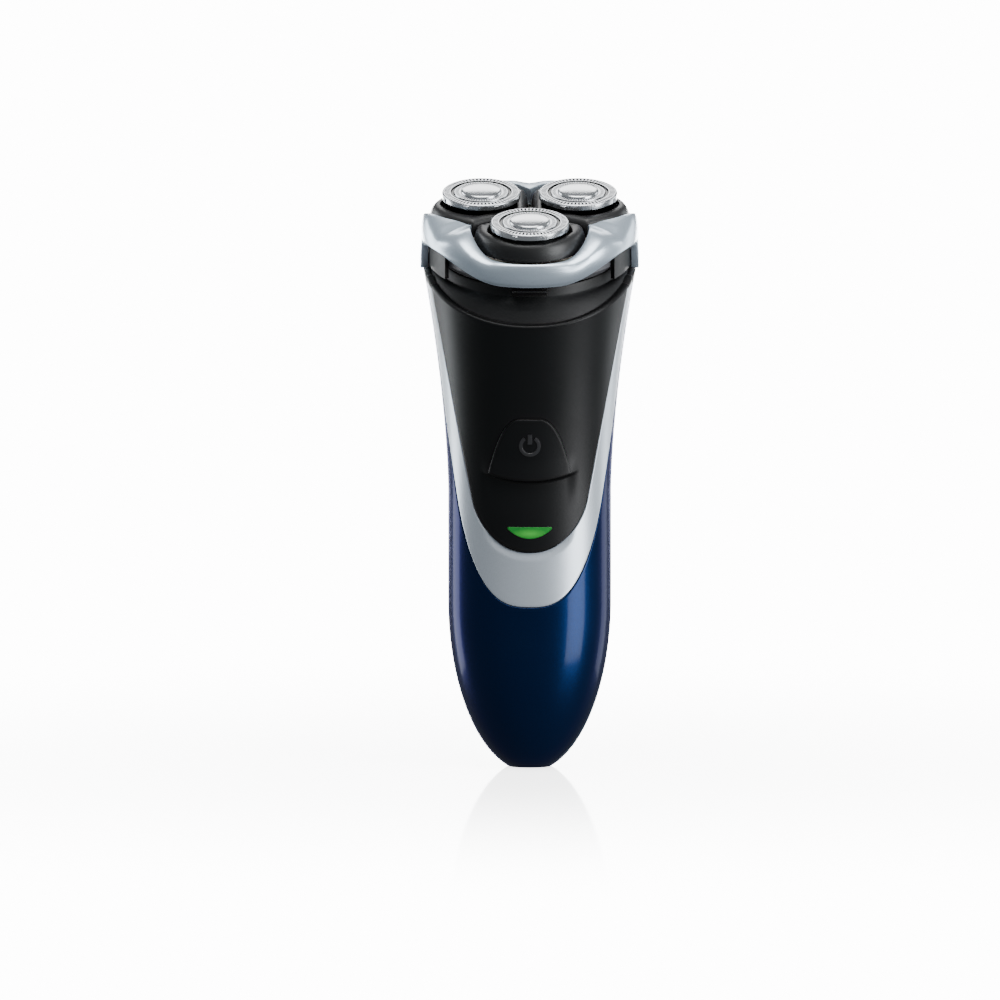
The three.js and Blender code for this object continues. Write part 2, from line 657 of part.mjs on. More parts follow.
function trimmerArm() {
  const { half, axisY, axisZ, barrel } = TRIMMER;
  let arm = block([-half, half], [-2.9, 4], [-9, 5], trimmerMatrix).intersect(handleSolid(GAP, 0));
  arm = arm.add(block([-half, half], [axisY - 0.9, axisY + 1.1], [4.5, axisZ], trimmerMatrix));
  arm = arm.add(rodX(barrel, [-half, half], [axisY, axisZ], 20, trimmerMatrix));
  return arm.subtract(rodX(TRIMMER.pin + 0.25, [-14, 14], [axisY, axisZ], 12, trimmerMatrix));
}

function combOutline(half, root, tip, teeth) {
  const outline = [[half, root + 5], [-half, root + 5]];
  const step = (2 * half) / teeth;
  for (let tooth = 0; tooth < teeth; tooth++) {
    const left = -half + tooth * step;
    outline.push([left, root], [left + 0.2 * step, tip], [left + 0.5 * step, tip], [left + 0.7 * step, root]);
  }
  outline.push([half, root]);
  return outline;
}

function trimmerComb() {
  return frontPrism(combOutline(11.4, -9.2, -11, 16), [-4.4, -3.9]);
}

function trimmerBlade() {
  return frontPrism(combOutline(10.4, -9, -10.6, 14), [-3.6, -3.2]);
}

function trimmerSlide() {
  const { half, stem } = SLIDE;
  let body = block([-half, half], [GAP - 0.6, 1.9], [-2.4, 4.4], slideMatrix).subtract(proud);
  body = body.add(block([-stem, stem], [-3.2, 0.8], [-1.8, 2.5], slideMatrix));
  for (let ridge = 0; ridge < 4; ridge++) {
    const z = -1.4 + ridge * 1.5;
    body = body.subtract(block([-half - 1, half + 1], [1.45, 3], [z, z + 0.7], slideMatrix));
  }
  return body;
}

// ---- assembly ----
const shaver = new THREE.Group();
const head = new THREE.Group();
head.position.copy(HEAD_CENTRE);
head.rotation.x = HEAD_TILT;
const trimmer = new THREE.Group();
trimmer.position.set(0, trimmerBack, TRIMMER_Z);
trimmer.rotation.x = -TRIMMER_TILT;
shaver.add(head, trimmer);

function place(parent, name, body, material) {
  const mesh = new THREE.Mesh(geometryOf(body), material);
  mesh.name = name;
  parent.add(mesh);
}

place(shaver, "rear_housing", rearHousing(), BLUE());
place(shaver, "trim_band", trimBand(), SILVER());
place(shaver, "front_panel", frontPanel(), BLACK_GLOSS());
place(shaver, "top_deck", topDeck(), BLACK());
place(shaver, "power_button", frontPrism(buttonOutline(0), [-40, -13.5]).intersect(proud), BLACK_GLOSS());
place(shaver, "release_button", releaseButton(), BLACK());
place(shaver, "led_lens", frontPrism(lensOutline(0), [-40, -14.5]).intersect(outer), GREEN_LENS());
place(shaver, "chassis", chassis(), GREY());
SCREWS.forEach((spot, i) => place(shaver, "chassis_screw_" + (i + 1), chassisScrew(spot), STEEL()));
place(shaver, "battery", battery(), CELL_WRAP());
place(shaver, "battery_contact_bottom", block([-5, 5], [1, 10], [33, 33.6]), STEEL());
place(shaver, "battery_contact_top", block([-5, 5], [1, 10], [82.4, 83]), STEEL());
place(shaver, "circuit_board", circuitBoard(), GREEN_BOARD());
place(shaver, "power_switch", block([-3, 3], [-12.5, -9.8], [85.2, 91.2]), STEEL());
place(shaver, "status_led", block([-1.6, 1.6], [-12, -9.8], [63.5, 65.9]), GREEN_LENS());
place(shaver, "inlet_socket", inletSocket(), BLACK());
place(shaver, "inlet_pin_left", inletPin(-2.2), BRASS());
place(shaver, "inlet_pin_right", inletPin(2.2), BRASS());

place(head, "motor_can", motorCan(), STEEL());
place(head, "motor_armature", motorArmature(), STEEL());
place(head, "motor_end_cap", motorEndCap(), NYLON());
place(head, "gear_plate", gearPlate(), GREY());
place(head, "motor_pinion", motorPinion(), BRASS());
place(head, "shaving_frame", shavingFrame(), SILVER());
place(head, "hair_chamber", hairChamber(), BLACK());
place(head, "retaining_frame", retainingFrame(), GREY());
place(head, "lock_wheel", lockWheel(), GREY());
place(head, "hinge_pin", rodX(HINGE.pin, [-7.8, 7.8], [HINGE.v, HINGE.w], 12), STEEL());

CAP_AZIMUTHS.forEach((azimuth, i) => {
  const number = i + 1;
  const station = new THREE.Group();
  station.position.set(...capCentre(azimuth), 0);
  head.add(station);
  place(head, "petal_" + number, petal(azimuth), BLACK());
  place(station, "drive_gear_" + number, driveGear(azimuth), NYLON());
  place(station, "drive_spindle_" + number, driveSpindle(), NYLON());
  place(station, "shaving_cap_" + number, shavingCap(), STEEL());
  place(station, "centre_cap_" + number, centreCap(), STEEL());
  place(station, "rotary_cutter_" + number, rotaryCutter(), STEEL());
});

place(shaver, "trimmer_housing", trimmerHousing(), BLACK());
place(shaver, "trimmer_arm", trimmerArm(), BLACK());
place(trimmer, "trimmer_comb", trimmerComb(), STEEL());
place(trimmer, "trimmer_blade", trimmerBlade(), STEEL());
place(trimmer, "trimmer_pin", rodX(TRIMMER.pin, [-13.2, 13.2], [TRIMMER.axisY, TRIMMER.axisZ], 12), STEEL());
place(shaver, "trimmer_slide", trimmerSlide(), BLACK());

export default shaver;
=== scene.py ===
"""The looks of a cordless rotary shaver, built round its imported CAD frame."""
import math

import bmesh
import bpy
import numpy as np
from mathutils import Matrix, Vector


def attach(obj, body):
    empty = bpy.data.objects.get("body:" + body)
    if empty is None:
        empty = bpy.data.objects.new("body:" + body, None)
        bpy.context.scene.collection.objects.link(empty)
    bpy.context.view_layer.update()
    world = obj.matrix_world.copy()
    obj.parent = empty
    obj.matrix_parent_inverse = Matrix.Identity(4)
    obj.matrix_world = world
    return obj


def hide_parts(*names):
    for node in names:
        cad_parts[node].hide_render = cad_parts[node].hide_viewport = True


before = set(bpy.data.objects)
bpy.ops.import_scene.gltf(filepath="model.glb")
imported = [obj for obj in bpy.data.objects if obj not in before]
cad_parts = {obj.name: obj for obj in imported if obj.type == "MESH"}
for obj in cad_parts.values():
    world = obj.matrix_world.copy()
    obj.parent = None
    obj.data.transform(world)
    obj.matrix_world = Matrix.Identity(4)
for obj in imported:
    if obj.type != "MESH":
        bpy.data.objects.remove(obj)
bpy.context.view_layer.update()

MM = 0.001

# ---- sizes in millimetres, the same as the CAD frame's ----
WALL = 1.8
HANDLE_HALF_WIDTH = 22
HANDLE_HALF_DEPTH = 17.5
BELLY_Z = 45
FOOT_CUT = 1.59
FOOT_SQUARENESS = 3.2
FLARE_START_Z = 75
FLARE_END_Z = 136
FLARE_POWER = 1.6
FLARE = {"side": 6.9, "front": 14, "back": 8, "centre": 2.5}
SECTION_POWER = 2.1
RIM = {"height": 134.6, "rise": 0.42, "sag": 0.0052}  # height of the rim over y
PANEL = {"bottom": 59.4, "round": 14, "power": 2.3, "half": 17.1, "half_at": 81.1, "widening": 0.192}
BAND = {"bottom": 44.6, "round": 58, "power": 2.8, "share": 0.985}
SEAM = 0.1  # visible gap between the fitted shells
HEAD_TILT = math.radians(17)
HEAD_CENTRE = Vector((0, -2, 153))
CAP_CIRCLE = 15.1
PETAL_TOP = -2.5
PETAL_BOTTOM = -7.3
LOBE_CENTRE = 12
LOBE_RADIUS = 15.5
CAP_AZIMUTHS = (-90, 30, 150)
LEDGE_Z = 78.6  # the step under the power button, at the middle
BUTTON = {"foot": 11, "foot_z": 80.7, "dip": 2.1, "top": 2.7, "top_z": 95.5, "proud": 0.4, "depth": 3.5}
LENS_TOP = 66.3
LENS_HALF = 6
LENS_DROP = 3.2  # from the lens's flat top to the lowest point of its arc
ICON_Z = 88.3

head_matrix = Matrix.Translation(HEAD_CENTRE) @ Matrix.Rotation(HEAD_TILT, 4, "X")


# ---- shape of the handle ----
def smoothstep(value, low, high):
    share = np.clip((value - low) / (high - low), 0, 1)
    return share * share * (3 - 2 * share)


def section(z):
    drop = np.maximum(0, BELLY_Z - z) / (BELLY_Z + FOOT_CUT)
    widen = (np.maximum(0, z - FLARE_START_Z) / (FLARE_END_Z - FLARE_START_Z)) ** FLARE_POWER
    depth = HANDLE_HALF_DEPTH * np.sqrt(1 - drop**FOOT_SQUARENESS)
    side = HANDLE_HALF_WIDTH * np.sqrt(1 - drop**2) + FLARE["side"] * widen
    return side, depth + FLARE["front"] * widen, depth + FLARE["back"] * widen, FLARE["centre"] * widen


def front_y(x, z):
    side, front, _, centre = section(z)
    share = np.clip(np.abs(x) / side, 0, 1)
    return centre - front * (1 - share**SECTION_POWER) ** (1 / SECTION_POWER)


def around(angle, z):
    side, front, back, centre = section(z)
    power = 2 / SECTION_POWER
    across = np.sign(np.cos(angle)) * np.abs(np.cos(angle)) ** power
    along = np.sign(np.sin(angle)) * np.abs(np.sin(angle)) ** power
    return side * across, centre + np.where(along < 0, front, back) * along


def level_of(x, y, z):
    side, front, back, centre = section(z)
    depth = np.where(y < centre, front, back)
    return (np.abs(x) / side) ** SECTION_POWER + (np.abs(y - centre) / depth) ** SECTION_POWER


def on_front(lines):
    """Points on the handle's front above an array of [x, z]."""
    x, z = lines[..., 0], lines[..., 1]
    return np.stack([x, front_y(x, z), z], axis=-1)


def outward(points):
    """Unit normals of the handle's surface at an array of points."""
    step = 0.01
    x, y, z = points[..., 0], points[..., 1], points[..., 2]
    slope = np.stack([
        level_of(x + step, y, z) - level_of(x - step, y, z),
        level_of(x, y + step, z) - level_of(x, y - step, z),
        level_of(x, y, z + step) - level_of(x, y, np.maximum(z - step, 0)),
    ], axis=-1)
    return slope / np.linalg.norm(slope, axis=-1, keepdims=True)


def rim_z(y):
    return RIM["height"] + RIM["rise"] * y - RIM["sag"] * y * y


def rim_at_front(x):
    z = rim_z(0) + 0 * x
    for _ in range(8):
        z = rim_z(front_y(x, z))
    return z


def rounded_start(z, bottom, reach, power):
    rise = np.clip((z - bottom) / reach, 0, 1)
    return (1 - (1 - rise) ** 2) ** (1 / power)


def panel_half(z):
    straight = PANEL["half"] + PANEL["widening"] * (z - PANEL["half_at"])
    return straight * rounded_start(z, PANEL["bottom"], PANEL["round"], PANEL["power"])


def band_half(z):
    return BAND["share"] * section(z)[0] * rounded_start(z, BAND["bottom"], BAND["round"], BAND["power"])


def outline_top(half):
    z = 130.0
    for _ in range(20):
        z = float(rim_at_front(np.array(half(np.array(z)))))
    return z


def right_edge(half, bottom, steps):
    """Points [x, z] up the right edge of a U outline, evenly spaced along it."""
    top = outline_top(half)
    z = bottom + (top - bottom) * np.linspace(0, 1, 4000) ** 3
    x = half(z)
    x[0] = 0
    run = np.concatenate([[0], np.cumsum(np.hypot(np.diff(x), np.diff(z)))])
    spread = np.linspace(0, run[-1], steps)
    return np.stack([np.interp(spread, run, x), np.interp(spread, run, z)], axis=-1)


def whole_u(half, bottom, steps, margin=0.0):
    """A U outline from its left top down and round to its right top, grown by a margin."""
    right = right_edge(half, bottom, steps)
    tangent = np.gradient(right, axis=0)
    tangent[0] = (1, 0)
    tangent /= np.linalg.norm(tangent, axis=-1, keepdims=True)
    right = right + margin * np.stack([tangent[:, 1], -tangent[:, 0]], axis=-1)
    right[0, 0] = 0
    left = right[:0:-1] * np.array([-1, 1])
    return np.concatenate([left, right])


# ---- mesh building ----
def quads(index, flip=False):
    """The quads of a grid of vertex numbers."""
    corners = [index[:-1, :-1], index[:-1, 1:], index[1:, 1:], index[1:, :-1]]
    faces = np.stack(corners, axis=-1).reshape(-1, 4)
    return faces[:, ::-1] if flip else faces


def grid_faces(rows, columns, start=0, flip=False):
    return quads(start + np.arange(rows * columns).reshape(rows, columns), flip)


def looped_faces(rows, columns):
    """The quads of a grid that closes on itself both ways."""
    index = np.arange(rows * columns).reshape(rows, columns)
    index = np.concatenate([index, index[:1]])
    return quads(np.concatenate([index, index[:, :1]], axis=1))


def rod_faces(count, corners, start=0):
    """The faces of a rod made of equal sections, with both its ends closed."""
    faces = []
    for row in range(count - 1):
        a, b = start + row * corners, start + (row + 1) * corners
        for i in range(corners):
            j = (i + 1) % corners
            faces.append([a + i, b + i, b + j, a + j])
    last = start + (count - 1) * corners
    first_end = [start + i for i in range(corners)]
    last_end = [last + i for i in range(corners)][::-1]
    return faces + [first_end, last_end]


def raw_mesh(name, points, faces):
    """A mesh in metres from points in millimetres."""
    mesh = bpy.data.meshes.new(name)
    vertices = (np.asarray(points).reshape(-1, 3) * MM).tolist()
    mesh.from_pydata(vertices, [], [list(map(int, face)) for face in faces])
    return mesh


def add_piece(name, points, faces, material, body, sharp=35, matrix=None):
    """A welded mesh piece from points in millimetres, riding on a body."""
    mesh = raw_mesh(name, points, faces)
    tidy = bmesh.new()
    tidy.from_mesh(mesh)
    bmesh.ops.remove_doubles(tidy, verts=tidy.verts, dist=4e-7)
    bmesh.ops.dissolve_degenerate(tidy, edges=tidy.edges, dist=1e-7)
    loose = [v for v in tidy.verts if not v.link_faces]
    bmesh.ops.delete(tidy, geom=loose, context="VERTS")
    bmesh.ops.recalc_face_normals(tidy, faces=tidy.faces)
    if tidy.calc_volume(signed=True) < 0:
        bmesh.ops.reverse_faces(tidy, faces=tidy.faces)
    tidy.to_mesh(mesh)
    tidy.free()
    if matrix is not None:
        mesh.transform(Matrix.Scale(MM, 4) @ matrix @ Matrix.Scale(1 / MM, 4))
    piece = bpy.data.objects.new(name, mesh)
    bpy.context.collection.objects.link(piece)
    finish_mesh(piece, sharp)
    mesh.materials.append(material)
    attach(piece, body)
    return piece


def finish_mesh(piece, sharp):
    piece.data.shade_smooth()
    piece.data.set_sharp_from_angle(angle=math.radians(sharp))


def bake_modifiers(piece, sharp=35):
    shown = piece.evaluated_get(bpy.context.evaluated_depsgraph_get())
    mesh = bpy.data.meshes.new_from_object(shown)
    piece.modifiers.clear()
    piece.data = mesh
    finish_mesh(piece, sharp)


def round_edges(piece, width, segments=3, angle=40):
    """Rounds a piece's sharp edges by a width in millimetres."""
    bevel = piece.modifiers.new("round_edges", "BEVEL")
    bevel.width = width * MM
    bevel.segments = segments
    bevel.limit_method = "ANGLE"
    bevel.angle_limit = math.radians(angle)
    bevel.use_clamp_overlap = True
    bevel.harden_normals = False
    bake_modifiers(piece)


def cut(piece, points, faces):
    """Cuts the solid given by points and faces out of a piece."""
    mesh = raw_mesh("cutter", points, faces)
    tidy = bmesh.new()
    tidy.from_mesh(mesh)
    bmesh.ops.remove_doubles(tidy, verts=tidy.verts, dist=1e-6)
    bmesh.ops.recalc_face_normals(tidy, faces=tidy.faces)
    tidy.to_mesh(mesh)
    tidy.free()
    cutter = bpy.data.objects.new("cutter", mesh)
    bpy.context.collection.objects.link(cutter)
    boolean = piece.modifiers.new("cut", "BOOLEAN")
    boolean.operation = "DIFFERENCE"
    boolean.solver = "EXACT"
    boolean.object = cutter
    bake_modifiers(piece)
    bpy.data.objects.remove(cutter)


def prism(outline, low, high, lift):
    """Points and faces of an outline swept from one depth to another: lift(x, z, depth) gives a point."""
    count = len(outline)
    points = [lift(x, z, depth) for depth in (low, high) for x, z in outline]
    sides = [[i, (i + 1) % count, (i + 1) % count + count, i + count] for i in range(count)]
    return points, sides + [list(range(count))[::-1], list(range(count, 2 * count))]


def turned(profile, segments=96, place=None):
    """A solid of revolution about Z from an open profile of [radius, height].

    The profile starts and ends on the axis."""
    rows = len(profile)
    points = []
    for step in range(segments + 1):
        angle = 2 * math.pi * (step % segments) / segments
        for row, (radius, height) in enumerate(profile):
            if place:
                radius, height = place(row, radius, height, angle)
            points.append((radius * math.cos(angle), radius * math.sin(angle), height))
    return points, grid_faces(segments + 1, rows)


# ---- materials ----
def ramp(nodes, low, high, low_at=0.3, high_at=0.7):
    node = nodes.new("ShaderNodeValToRGB")
    node.color_ramp.elements[0].position = low_at
    node.color_ramp.elements[0].color = (*low, 1)
    node.color_ramp.elements[1].position = high_at
    node.color_ramp.elements[1].color = (*high, 1)
    return node


def linear(hex_colour):
    """An sRGB hex colour as linear red, green and blue."""
    parts = [int(hex_colour[i:i + 2], 16) / 255 for i in (0, 2, 4)]
    return tuple(p / 12.92 if p <= 0.04045 else ((p + 0.055) / 1.055) ** 2.4 for p in parts)


def set_inputs(node, **values):
    """Sets a node's inputs by name, with an underscore for each space."""
    for name, value in values.items():
        node.inputs[name.replace("_", " ")].default_value = value


def add_node(tree, kind, **values):
    node = tree.nodes.new(kind)
    set_inputs(node, **values)
    return node


def join(source, output, target, socket):
    """Links one node's output to another node's input."""
    source.id_data.links.new(source.outputs[output], target.inputs[socket])


def add_bump(tree, height, shader, strength, distance):
    relief = add_node(tree, "ShaderNodeBump", Strength=strength, Distance=distance)
    tree.links.new(height, relief.inputs["Height"])
    join(relief, "Normal", shader, "Normal")


def surface_material(name, colour, roughness, metallic=0.0, tint=0.12, grain=1200.0, wear=60.0,
                     bump=0.05, stretch=(1, 1, 1), coat=0.0, coat_roughness=0.03, specular=0.5,
                     edge_tint="ffffff"):
    """Colour, roughness and relief vary over the surface by noise in the object's own frame."""
    made = bpy.data.materials.new(name)
    made.use_nodes = True
    tree = made.node_tree
    shader = tree.nodes["Principled BSDF"]
    set_inputs(shader, Metallic=metallic, Coat_Weight=coat, Coat_Roughness=coat_roughness,
               Specular_IOR_Level=specular, Specular_Tint=(*linear(edge_tint), 1))
    place = add_node(tree, "ShaderNodeTexCoord")
    mapping = add_node(tree, "ShaderNodeMapping", Scale=stretch)
    join(place, "Object", mapping, "Vector")
    broad = add_node(tree, "ShaderNodeTexNoise", Scale=wear, Detail=3)
    fine = add_node(tree, "ShaderNodeTexNoise", Scale=grain, Detail=4)
    for noise in (broad, fine):
        join(mapping, "Vector", noise, "Vector")
    base = linear(colour)
    low = tuple(c * (1 - tint) for c in base)
    high = tuple(min(1, c * (1 + tint)) for c in base)
    colours = ramp(tree.nodes, low, high)
    join(fine, "Fac", colours, "Fac")
    join(colours, "Color", shader, "Base Color")
    rough = add_node(tree, "ShaderNodeMapRange", To_Min=max(0.02, roughness * 0.85),
                     To_Max=min(1, roughness * 1.15))
    join(broad, "Fac", rough, "Value")
    join(rough, "Result", shader, "Roughness")
    add_bump(tree, fine.outputs["Fac"], shader, bump, 0.0001)
    return made


BLUE = surface_material("blue_lacquer", "061a3b", 0.3, metallic=0.75, tint=0.16, grain=5200, bump=0.012,
                        coat=0.15, coat_roughness=0.1, edge_tint="2a5aa6")
SILVER = surface_material("silver_lacquer", "b4bcc4", 0.36, metallic=0.6, tint=0.05, grain=4800, bump=0.02,
                          coat=0.2, coat_roughness=0.15)
BLACK_GLOSS = surface_material("black_gloss", "050506", 0.42, tint=0.2, grain=3000, bump=0.012, specular=0.2)
ICON = surface_material("icon_grey", "1e1e20", 0.4, tint=0.1, grain=2600, bump=0.02, specular=0.4)
BLACK = surface_material("black_plastic", "09090a", 0.5, tint=0.2, grain=4200, bump=0.08, specular=0.28)
PETAL = surface_material("petal_satin", "0e0e0f", 0.42, tint=0.18, grain=4200, bump=0.06, specular=0.4)
GREY = surface_material("grey_plastic", "4a4b4e", 0.5, tint=0.12, grain=3600, bump=0.15)
STEEL = surface_material("screw_steel", "a8aaae", 0.28, metallic=1, tint=0.1, grain=2600, bump=0.05)
WRAP = surface_material("cell_wrap", "2f7a58", 0.35, tint=0.1, grain=2200, bump=0.04, coat=0.4)
BRASS = surface_material("brass", "c9a45a", 0.3, metallic=1, tint=0.12, grain=2600, bump=0.04)
MOTOR = surface_material("motor_steel", "8d9094", 0.34, metallic=1, tint=0.12, grain=1800, bump=0.05,
                         stretch=(1, 1, 8))
NYLON = surface_material("nylon", "d9d5c8", 0.5, tint=0.05, grain=2600, bump=0.08)
CUTTER = surface_material("cutter_steel", "9fa2a6", 0.25, metallic=1, tint=0.1, grain=2600, bump=0.05)
FRAME = surface_material("frame_lacquer", "b6c3ce", 0.3, metallic=0.75, tint=0.05, grain=4800, bump=0.02,
                         coat=0.25, coat_roughness=0.12)


def board_material():
    """Solder mask with fine copper tracks showing through."""
    made = surface_material("circuit_board", "145a34", 0.4, tint=0.1, grain=2400, bump=0.04)
    tree = made.node_tree
    tracks = add_node(tree, "ShaderNodeTexBrick", Scale=260, Color1=(*linear("14582f"), 1),
                      Color2=(*linear("1b6b3b"), 1), Mortar=(*linear("3c8f56"), 1))
    place = add_node(tree, "ShaderNodeTexCoord")
    turn = add_node(tree, "ShaderNodeMapping", Rotation=(math.pi / 2, 0, 0))
    join(place, "Object", turn, "Vector")
    join(turn, "Vector", tracks, "Vector")
    join(tracks, "Color", tree.nodes["Principled BSDF"], "Base Color")
    return made


def lens_material():
    """A green charge light, glowing most at its middle."""
    made = surface_material("green_lens", "126b20", 0.25, tint=0.1, grain=900, bump=0.01, coat=0.1)
    tree = made.node_tree
    shader = tree.nodes["Principled BSDF"]
    half_width, half_height, core_z = 5.0 * MM, 1.4 * MM, (LENS_TOP - 1.8) * MM
    place = add_node(tree, "ShaderNodeTexCoord")
    core = add_node(tree, "ShaderNodeMapping", Scale=(1 / half_width, 0, 1 / half_height),
                    Location=(0, 0, -core_z / half_height))
    join(place, "Object", core, "Vector")
    away = add_node(tree, "ShaderNodeVectorMath")
    away.operation = "LENGTH"
    join(core, "Vector", away, 0)
    glow = ramp(tree.nodes, linear("62dc50"), linear("07380f"), 0.05, 1.0)
    join(away, "Value", glow, "Fac")
    join(glow, "Color", shader, "Emission Color")
    set_inputs(shader, Emission_Strength=0.4)
    return made


def ring_brushed(name, colour, roughness, rings):
    """Steel turned in fine rings about each cap's own axis, by the radius stored on the mesh; painted shade
    darkens the slot bottoms and the skirt under the rim.
    """
    made = surface_material(name, colour, roughness, metallic=1, tint=0.06, grain=3000, bump=0.03)
    tree = made.node_tree
    shader = tree.nodes["Principled BSDF"]
    radius = add_node(tree, "ShaderNodeAttribute")
    radius.attribute_name = "radius"
    lines = tree.nodes.new("ShaderNodeTexNoise")
    lines.noise_dimensions = "1D"
    set_inputs(lines, Scale=rings, Detail=3)
    join(radius, "Fac", lines, "W")
    add_bump(tree, lines.outputs["Fac"], shader, 0.35, 0.00005)
    bright = shader.inputs["Base Color"].links[0].from_socket
    painted_shade = add_node(tree, "ShaderNodeAttribute")
    painted_shade.attribute_name = "painted_shade"
    # painted shade: a near-black colour mixed in on the slot bottoms and the skirt under the rim, where
    # shade falls
    mix = add_node(tree, "ShaderNodeMixRGB", Color2=(*linear("17181a"), 1))
    join(painted_shade, "Fac", mix, "Fac")
    tree.links.new(bright, mix.inputs["Color1"])
    join(mix, "Color", shader, "Base Color")
    return made


BOARD = board_material()
LENS = lens_material()
CAP = ring_brushed("cap_steel", "b4b6b9", 0.26, 9000)
CENTRE = ring_brushed("centre_steel", "c9cbcd", 0.2, 3500)

# ---- the handle's fitted shells ----
EDGE = 0.28  # radius of the shells' rounded edges
RIM_EDGE = 0.7  # radius of the rounded top rim
ROUNDING = [math.radians(a) for a in (0, 22.5, 45, 67.5, 90)]


def edge_profile(radius):
    """Rows of [distance in from the border, depth below the surface], ending down the wall."""
    arc = [(radius * (1 - math.sin(a)), radius * (1 - math.cos(a))) for a in ROUNDING]
    return arc + [(0, WALL)]


def offset_on_surface(outline, distance):
    """Moves outline points [x, z] off to their right by a true distance along the curved front."""
    tangent = np.gradient(outline, axis=0)
    tangent /= np.linalg.norm(tangent, axis=-1, keepdims=True) + 1e-12
    normal = np.stack([tangent[:, 1], -tangent[:, 0]], axis=-1)
    share = np.clip(np.abs(outline[:, :1]) / section(outline[:, 1:])[0], 0, 0.999)
    surface = on_front(outline)
    facing = np.abs(outward(surface)[:, 1:2])
    moved = outline + normal * distance * np.maximum(facing, 0.12)
    return np.where(share > 0.9985, outline, moved)


def shell_from(name, surface, depth, material, node):
    """A closed plate from a grid of surface points whose border rows lie at the plate's full depth."""
    normal = outward(surface)
    outer = surface - normal * depth[..., None]
    inner = surface - normal * WALL
    rows, columns = depth.shape
    points = np.concatenate([outer.reshape(-1, 3), inner.reshape(-1, 3)])
    back_faces = grid_faces(rows, columns, rows * columns, flip=True)
    faces = np.concatenate([grid_faces(rows, columns), back_faces])
    piece = add_piece(name, points, faces, material, "handle")
    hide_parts(node)
    return piece


def make_trim_band():
    steps = 420
    inner = whole_u(panel_half, PANEL["bottom"], steps)
    outer = whole_u(band_half, BAND["bottom"], steps)
    inner_edge = [(offset_on_surface(inner, SEAM + s), d) for s, d in reversed(edge_profile(EDGE))]
    outer_edge = [(offset_on_surface(outer, -s), d) for s, d in edge_profile(EDGE)]
    first, last = inner_edge[-1][0], outer_edge[0][0]
    across = []
    depths = []
    for line, d in inner_edge[:-1]:
        across.append(line)
        depths.append(np.full(len(line), d))
    count = 26
    for i in range(count + 1):
        share = (i / count) ** 1.4
        line = first + (last - first) * share
        away = np.linalg.norm(line - first, axis=-1)
        near = 1 - smoothstep(np.abs(first[:, 0]), 9, 13)
        sink = 0.55 * np.clip(1 - away / 1.9, 0, 1) * near * (first[:, 1] < 72)
        across.append(line)
        depths.append(sink)
    for line, d in outer_edge[1:]:
        across.append(line)
        depths.append(np.full(len(line), d))
    lines = np.stack(across, axis=1)
    depth = np.stack(depths, axis=1)
    for k, (_, d) in enumerate(inner_edge[:-1]):
        near = 1 - smoothstep(np.abs(first[:, 0]), 9, 13)
        sink = 0.55 * near * (first[:, 1] < 72)
        depth[:, k] = np.minimum(WALL, depth[:, k] + sink) if k else WALL
    lines, depth = add_rim(lines, depth)
    surface = on_front(lines)
    band = shell_from("trim_band_visual", surface, depth, SILVER, "trim_band")
    # painted shade: the band's faces just under the rim turn black, standing for the head's shade
    paint_shade_under_rim(band, 1.2, 40)


def paint_shade_under_rim(piece, reach, back):
    """Painted shade under the head's overhang: gives the black plastic to the faces close under the rim, as
    far back as the given y.
    """
    piece.data.materials.append(BLACK)
    for face in piece.data.polygons:
        y, z = face.center.y / MM, face.center.z / MM
        if y < back and rim_z(y) - z < reach:
            face.material_index = 1


def add_rim(lines, depth):
    """Rounds the two ends of a U strip where they meet the head."""
    def end(index, toward):
        tip = lines[index]
        run = lines[toward] - tip
        run /= np.linalg.norm(run, axis=-1, keepdims=True) + 1e-12
        rows = [(tip + run * s, np.maximum(depth[index], d)) for s, d in edge_profile(RIM_EDGE)]
        return rows
    start = end(0, 3)
    stop = end(-1, -4)
    keep = slice(3, -3)
    new_lines = [row for row, _ in reversed(start)] + list(lines[keep]) + [row for row, _ in stop]
    new_depth = [d for _, d in reversed(start)] + list(depth[keep]) + [d for _, d in stop]
    return np.array(new_lines), np.array(new_depth)


def ledge_depth(x, z):
    """How far the panel's front drops below the step for the thumb (negative stands proud)."""
    edge = LEDGE_Z + 2.6 * (x / 12.7) ** 2
    fade = 1 - smoothstep(np.abs(x), 10, 13.5)
    below = edge - z
    drop = 0.45 * smoothstep(below, -0.1, 0.9) * (1 - smoothstep(below, 0.9, 11))
    lip = 0.45 * (1 - smoothstep(below, -0.2, 0.6)) * (1 - smoothstep(-below, 0.2, 6))
    return fade * (drop - lip)


